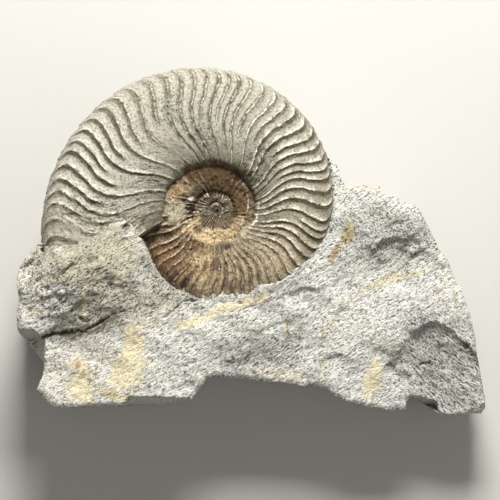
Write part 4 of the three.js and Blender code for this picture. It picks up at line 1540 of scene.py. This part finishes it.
    def splinters(self, spots: np.ndarray) -> np.ndarray:
        """Relief of the broken face finer than the solid has: splinters that run with the bedding, and grain."""
        flat = np.column_stack([spots, np.zeros(len(spots))])
        bent = spots + 0.8 * np.column_stack([NOISE.bumps(flat, 5), NOISE.bumps(flat + 31, 5)])
        in_hollow = smoothstep(24, 29, spots[:, 0]) * smoothstep(-13, -17, spots[:, 1])
        rising = 0.19 * NOISE.facets(bent, 6.5, 2.6, 27) + 0.12 * NOISE.facets(bent + 9, 2.2, 1.0, 30)
        falling = 0.22 * NOISE.facets(bent, 7.5, 2.2, -33) + 0.14 * NOISE.facets(bent + 9, 2.4, 0.9, -30)
        broken = 0.68 * NOISE.facets(bent + 5, 4.6, 2.6, 38) + 0.3 * NOISE.facets(bent + 15, 2.1, 1.2, 30)
        calmed = 1 - 0.6 * covered(self.calm, spots, 4)
        grain = 0.1 * NOISE.facets(bent + 21, 1.1, 0.7, 20) + 0.09 * NOISE.layers(flat, 1.3, 3)
        even = calmed * (rising * (1 - in_hollow) + falling * in_hollow)
        return even + grain + covered(self.rugged, spots, 4) * broken

    def face(self, spots: np.ndarray) -> np.ndarray:
        """Height of the rock's face.

        Args:
            spots: rows of x and y in millimetres.

        Returns:
            A height for each spot.
        """
        steps = sum(ledge.fall(spots) for ledge in self.ledges)
        relief = self.splinters(spots)
        height = self.surveyed(spots) + self.swells(spots) - steps + relief
        height -= 0.9 * covered(self.cracks, spots, 1.2)
        height += self.shell_ring.relief(spots)
        bare = self.bare_shell()
        distance, _, _ = nearest_on_line([*bare, bare[0]], spots)
        flat = np.column_stack([spots, np.zeros(len(spots))])
        shell = self.spiral.face(spots)
        below = np.minimum(height, self.spiral.lowest_face(spots) - self.fall_under_shell * distance - 0.05)
        distance = np.maximum(distance + self.contact_waver * NOISE.layers(flat + 5, 1.4, 3), 0)
        eased = shell + self.ease_from_shell * distance + relief * smoothstep(0.5, 3, distance)
        covering = np.maximum(np.minimum(height, eased), shell + self.rise_over_shell * distance - 0.1)
        above = np.where(shell > self.spiral.mid_plane + 0.5, covering, height)
        height = np.where(is_inside(bare, spots), below, above)
        for chip in self.chips:
            height = np.minimum(height, chip.face(spots))
        return height

    def face_spots(self, rim: np.ndarray) -> np.ndarray:
        """Spots inside the rim, close together where the face shows.

        Args:
            rim: the rim's points.

        Returns:
            Rows of x and y.
        """
        chance = np.random.default_rng(3)
        kept = []
        bare = self.bare_shell()
        for spacing, under_shell in ((self.spacing, False), (self.hidden_spacing, True)):
            x, y = np.meshgrid(np.arange(-45, 45, spacing), np.arange(-33, 25, spacing))
            spots = np.column_stack([x.ravel(), y.ravel()]) + chance.uniform(-0.2, 0.2, (x.size, 2)) * spacing
            spots = spots[is_inside(rim, spots)]
            from_shell, _, _ = nearest_on_line([*bare, bare[0]], spots)
            hidden = is_inside(bare, spots) & (from_shell > 1.2)
            spots = spots[hidden == under_shell]
            from_rim, _, _ = nearest_on_line(np.vstack([rim, rim[:1]])[::3], spots)
            from_ring = np.hypot(*(spots - self.shell_ring.middle).T)
            kept.append(spots[(from_rim > 0.6 * spacing) & (from_ring > self.ring_reach)])
        x, y = np.meshgrid(*(np.arange(c - self.ring_reach, c + self.ring_reach, 0.1) for c in self.shell_ring.middle))
        spots = np.column_stack([x.ravel(), y.ravel()]) + chance.uniform(-0.02, 0.02, (x.size, 2))
        kept.append(spots[np.hypot(*(spots - self.shell_ring.middle).T) < self.ring_reach - 0.1])
        return np.vstack(kept)

    def wall_rings(self, rim: np.ndarray, top: np.ndarray) -> list[np.ndarray]:
        """Rings of points down the walls, from just under the rim to the back.

        Args:
            rim: the rim's points.
            top: the height of the face at each of them.

        Returns:
            Rings of x, y and z, the last one on the resting surface.
        """
        rings = []
        count = round(top.max() / self.wall_spacing)
        outward = rim - self.middle
        under_shell = smoothstep(8, 18, rim[:, 1]) * self.shelf_undercut
        x, y = rim.T
        along = np.cumsum(np.hypot(*(rim - np.roll(rim, 1, axis=0)).T))
        for i in range(1, count + 1):
            height = top * (1 - i / count)
            lean = table(self.lean, height)
            broken = 0.03 * np.sin(0.31 * x + 0.22 * y + 0.35 * height) + 0.012 * np.sin(0.9 * x - y + height)
            low = np.where(lean > 0, np.maximum(lean + under_shell * (1 - height / 35) + broken, 0), 0)
            shape = np.column_stack([rim, height])
            wall = np.column_stack([along, height]) + 1.2 * NOISE.bumps(shape, 6)[:, None]
            rough = 0.6 * NOISE.facets(wall, 10, 5, 24) + 0.28 * NOISE.facets(wall + 40, 3.4, 1.7, 15)
            rough += 0.2 * NOISE.layers(shape, 2.2, 3)
            depth = smoothstep(0, 1.5, top - height) * smoothstep(0, 2, height)
            share = 1 - low - np.maximum(depth * (rough + 0.5), 0) / np.hypot(*outward.T)
            rings.append(np.column_stack([self.middle + share[:, None] * outward, height]))
        return rings

    def shape(self) -> tuple[np.ndarray, list]:
        """Makes the closed surface of the rock.

        Returns:
            Its points and its faces.
        """
        rim = self.rim()
        spots = np.vstack([rim, self.face_spots(rim)])
        count = len(rim)
        loop = [(i, (i + 1) % count) for i in range(count)]
        cut = delaunay_2d_cdt([Vector(spot) for spot in spots.tolist()], loop, [], 1, 1e-7)
        face = [tuple(triangle) for triangle in cut[2]]
        height = self.face(spots)
        from_rim, _, _ = nearest_on_line(np.vstack([rim, rim[:1]])[::3], spots)
        bare = self.bare_shell()
        from_shell, _, _ = nearest_on_line([*bare, bare[0]], spots)
        height -= self.rim_round * np.exp(-((from_rim / 0.5) ** 2)) * smoothstep(0.6, 2.5, from_shell)
        points = [np.column_stack([spots, height])]
        faces = list(face)
        rings = self.wall_rings(rim, height[:count])
        upper = np.arange(count)
        start = len(spots)
        for ring in rings:
            lower = start + np.arange(count)
            for i in range(count):
                j = (i + 1) % count
                faces.append((upper[i], lower[i], lower[j], upper[j]))
            points.append(ring)
            upper = lower
            start += count
        back = delaunay_2d_cdt([Vector(p[:2]) for p in rings[-1].tolist()], loop, [], 1, 1e-7)
        faces += [tuple(int(upper[i]) for i in triangle[::-1]) for triangle in back[2]]
        return np.vstack(points), [tuple(int(i) for i in f) for f in faces]

    def marks(self, points: np.ndarray) -> dict[Mark, np.ndarray]:
        """Gives the coloured patches, some of them painted shade and light, and the painted shade in the cracks and
        hollows at each point.
        """
        spots = points[:, :2]
        on_face = smoothstep(-2.5, -0.8, points[:, 2] - self.face(spots))
        marks = {
            mark: covered(patches, spots, 2.2) * on_face
            for mark, patches in self.stains
        }
        # Painted shade darkens the cracks and the tiny shell's hollow
        dark = 1.2 * covered(self.cracks, spots, 1.2) + 0.6 * self.shell_ring.inside(spots)
        marks[Mark.HOLLOW_SHADE] = np.clip(dark * on_face, 0, 1)
        marks[Mark.CREAM] = np.maximum(marks[Mark.CREAM], 1.3 * self.shell_ring.rim(spots) * on_face)
        marks[Mark.FALLING] = covered(self.falling, spots, 3)
        marks[Mark.ROUGH] = covered(self.rough, spots, 3)
        return marks

    def build(self) -> bpy.types.Object:
        """Makes the finished rock."""
        points, faces = self.shape()
        rock = mesh_object("limestone_rock", points, faces, self.marks(points))
        rock.data.materials.append(self.finish.material())
        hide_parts("matrix")
        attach(rock, "root")
        return rock


# The studio


@dataclass(frozen=True)
class Softbox:
    """A square soft light, by where it stands, its side, its power in watts and its colour."""

    name: str
    place: tuple[float, float, float]
    side: float
    power: float
    colour: str = "#ffffff"

    def build(self, aim: Vector) -> None:
        """Hangs the light and turns it to what it lights."""
        light = bpy.data.lights.new(self.name, "AREA")
        light.size = self.side * MM
        light.energy = self.power
        light.color = linear(self.colour)[:3]
        lamp = bpy.data.objects.new(self.name, light)
        lamp.location = Vector(self.place) * MM
        lamp.rotation_euler = (aim - lamp.location).to_track_quat("-Z", "Y").to_euler()
        bpy.context.scene.collection.objects.link(lamp)


@dataclass
class Studio:
    """Pale floor, soft lights and the camera that looks straight down on the specimen."""

    frame_middle: tuple[float, float] = (-0.97, -1.53)
    frame_width: float = 92.7
    frame_height: float = 22.9  # height of the plane that fills that width
    turn: float = 2.0  # degrees that the camera is turned about its line of sight
    lens: float = 300.0
    sensor: float = 36.0
    floor_side: float = 3000.0
    ambient: float = 0.26
    lights: tuple[Softbox, ...] = field(
        default=(
            Softbox("key_softbox", (10, 330, 300), 150, 4.2, "#fffdf9"),
            Softbox("fill_softbox", (120, -160, 520), 420, 0.42, "#fffaf0"),
        )
    )

    def build(self, finish: FloorFinish) -> None:
        """Sets up the floor, the light and the camera."""
        half = self.floor_side / 2
        corners = np.array([(-half, -half, 0), (half, -half, 0), (half, half, 0), (-half, half, 0)])
        floor = mesh_object("floor", corners, [(0, 1, 2, 3)], {})
        floor.data.materials.append(finish.material())
        aim = Vector((0, 0, 20)) * MM
        for light in self.lights:
            light.build(aim)
        scene = bpy.context.scene
        world = bpy.data.worlds.new("soft_room")
        world.use_nodes = True
        background = world.node_tree.nodes["Background"]
        background.inputs["Color"].default_value = linear("#f8f6f0")
        background.inputs["Strength"].default_value = self.ambient
        scene.world = world
        scene.view_settings.view_transform = "Standard"
        data = bpy.data.cameras.new("camera")
        data.lens = self.lens
        data.sensor_width = self.sensor
        data.clip_end = 10
        camera = bpy.data.objects.new("camera", data)
        distance = self.frame_width * self.lens / self.sensor
        camera.location = Vector((*self.frame_middle, self.frame_height + distance)) * MM
        camera.rotation_euler = (0, 0, math.radians(self.turn))
        scene.collection.objects.link(camera)
        scene.camera = camera


def main() -> None:
    """Builds the specimen and the studio, and reports each piece."""
    logging.basicConfig(level=logging.INFO, format="%(name)s: %(message)s")
    Studio().build(FloorFinish())
    spiral = Spiral()
    for maker in (Ammonite(spiral, ShellFinish()), Rock(spiral, LimestoneFinish())):
        piece = maker.build()
        mesh = piece.data
        triangles = sum(len(face.vertices) - 2 for face in mesh.polygons)
        LOG.info("%s: %d triangles", piece.name, triangles)


if __name__ == "__main__":
    main()
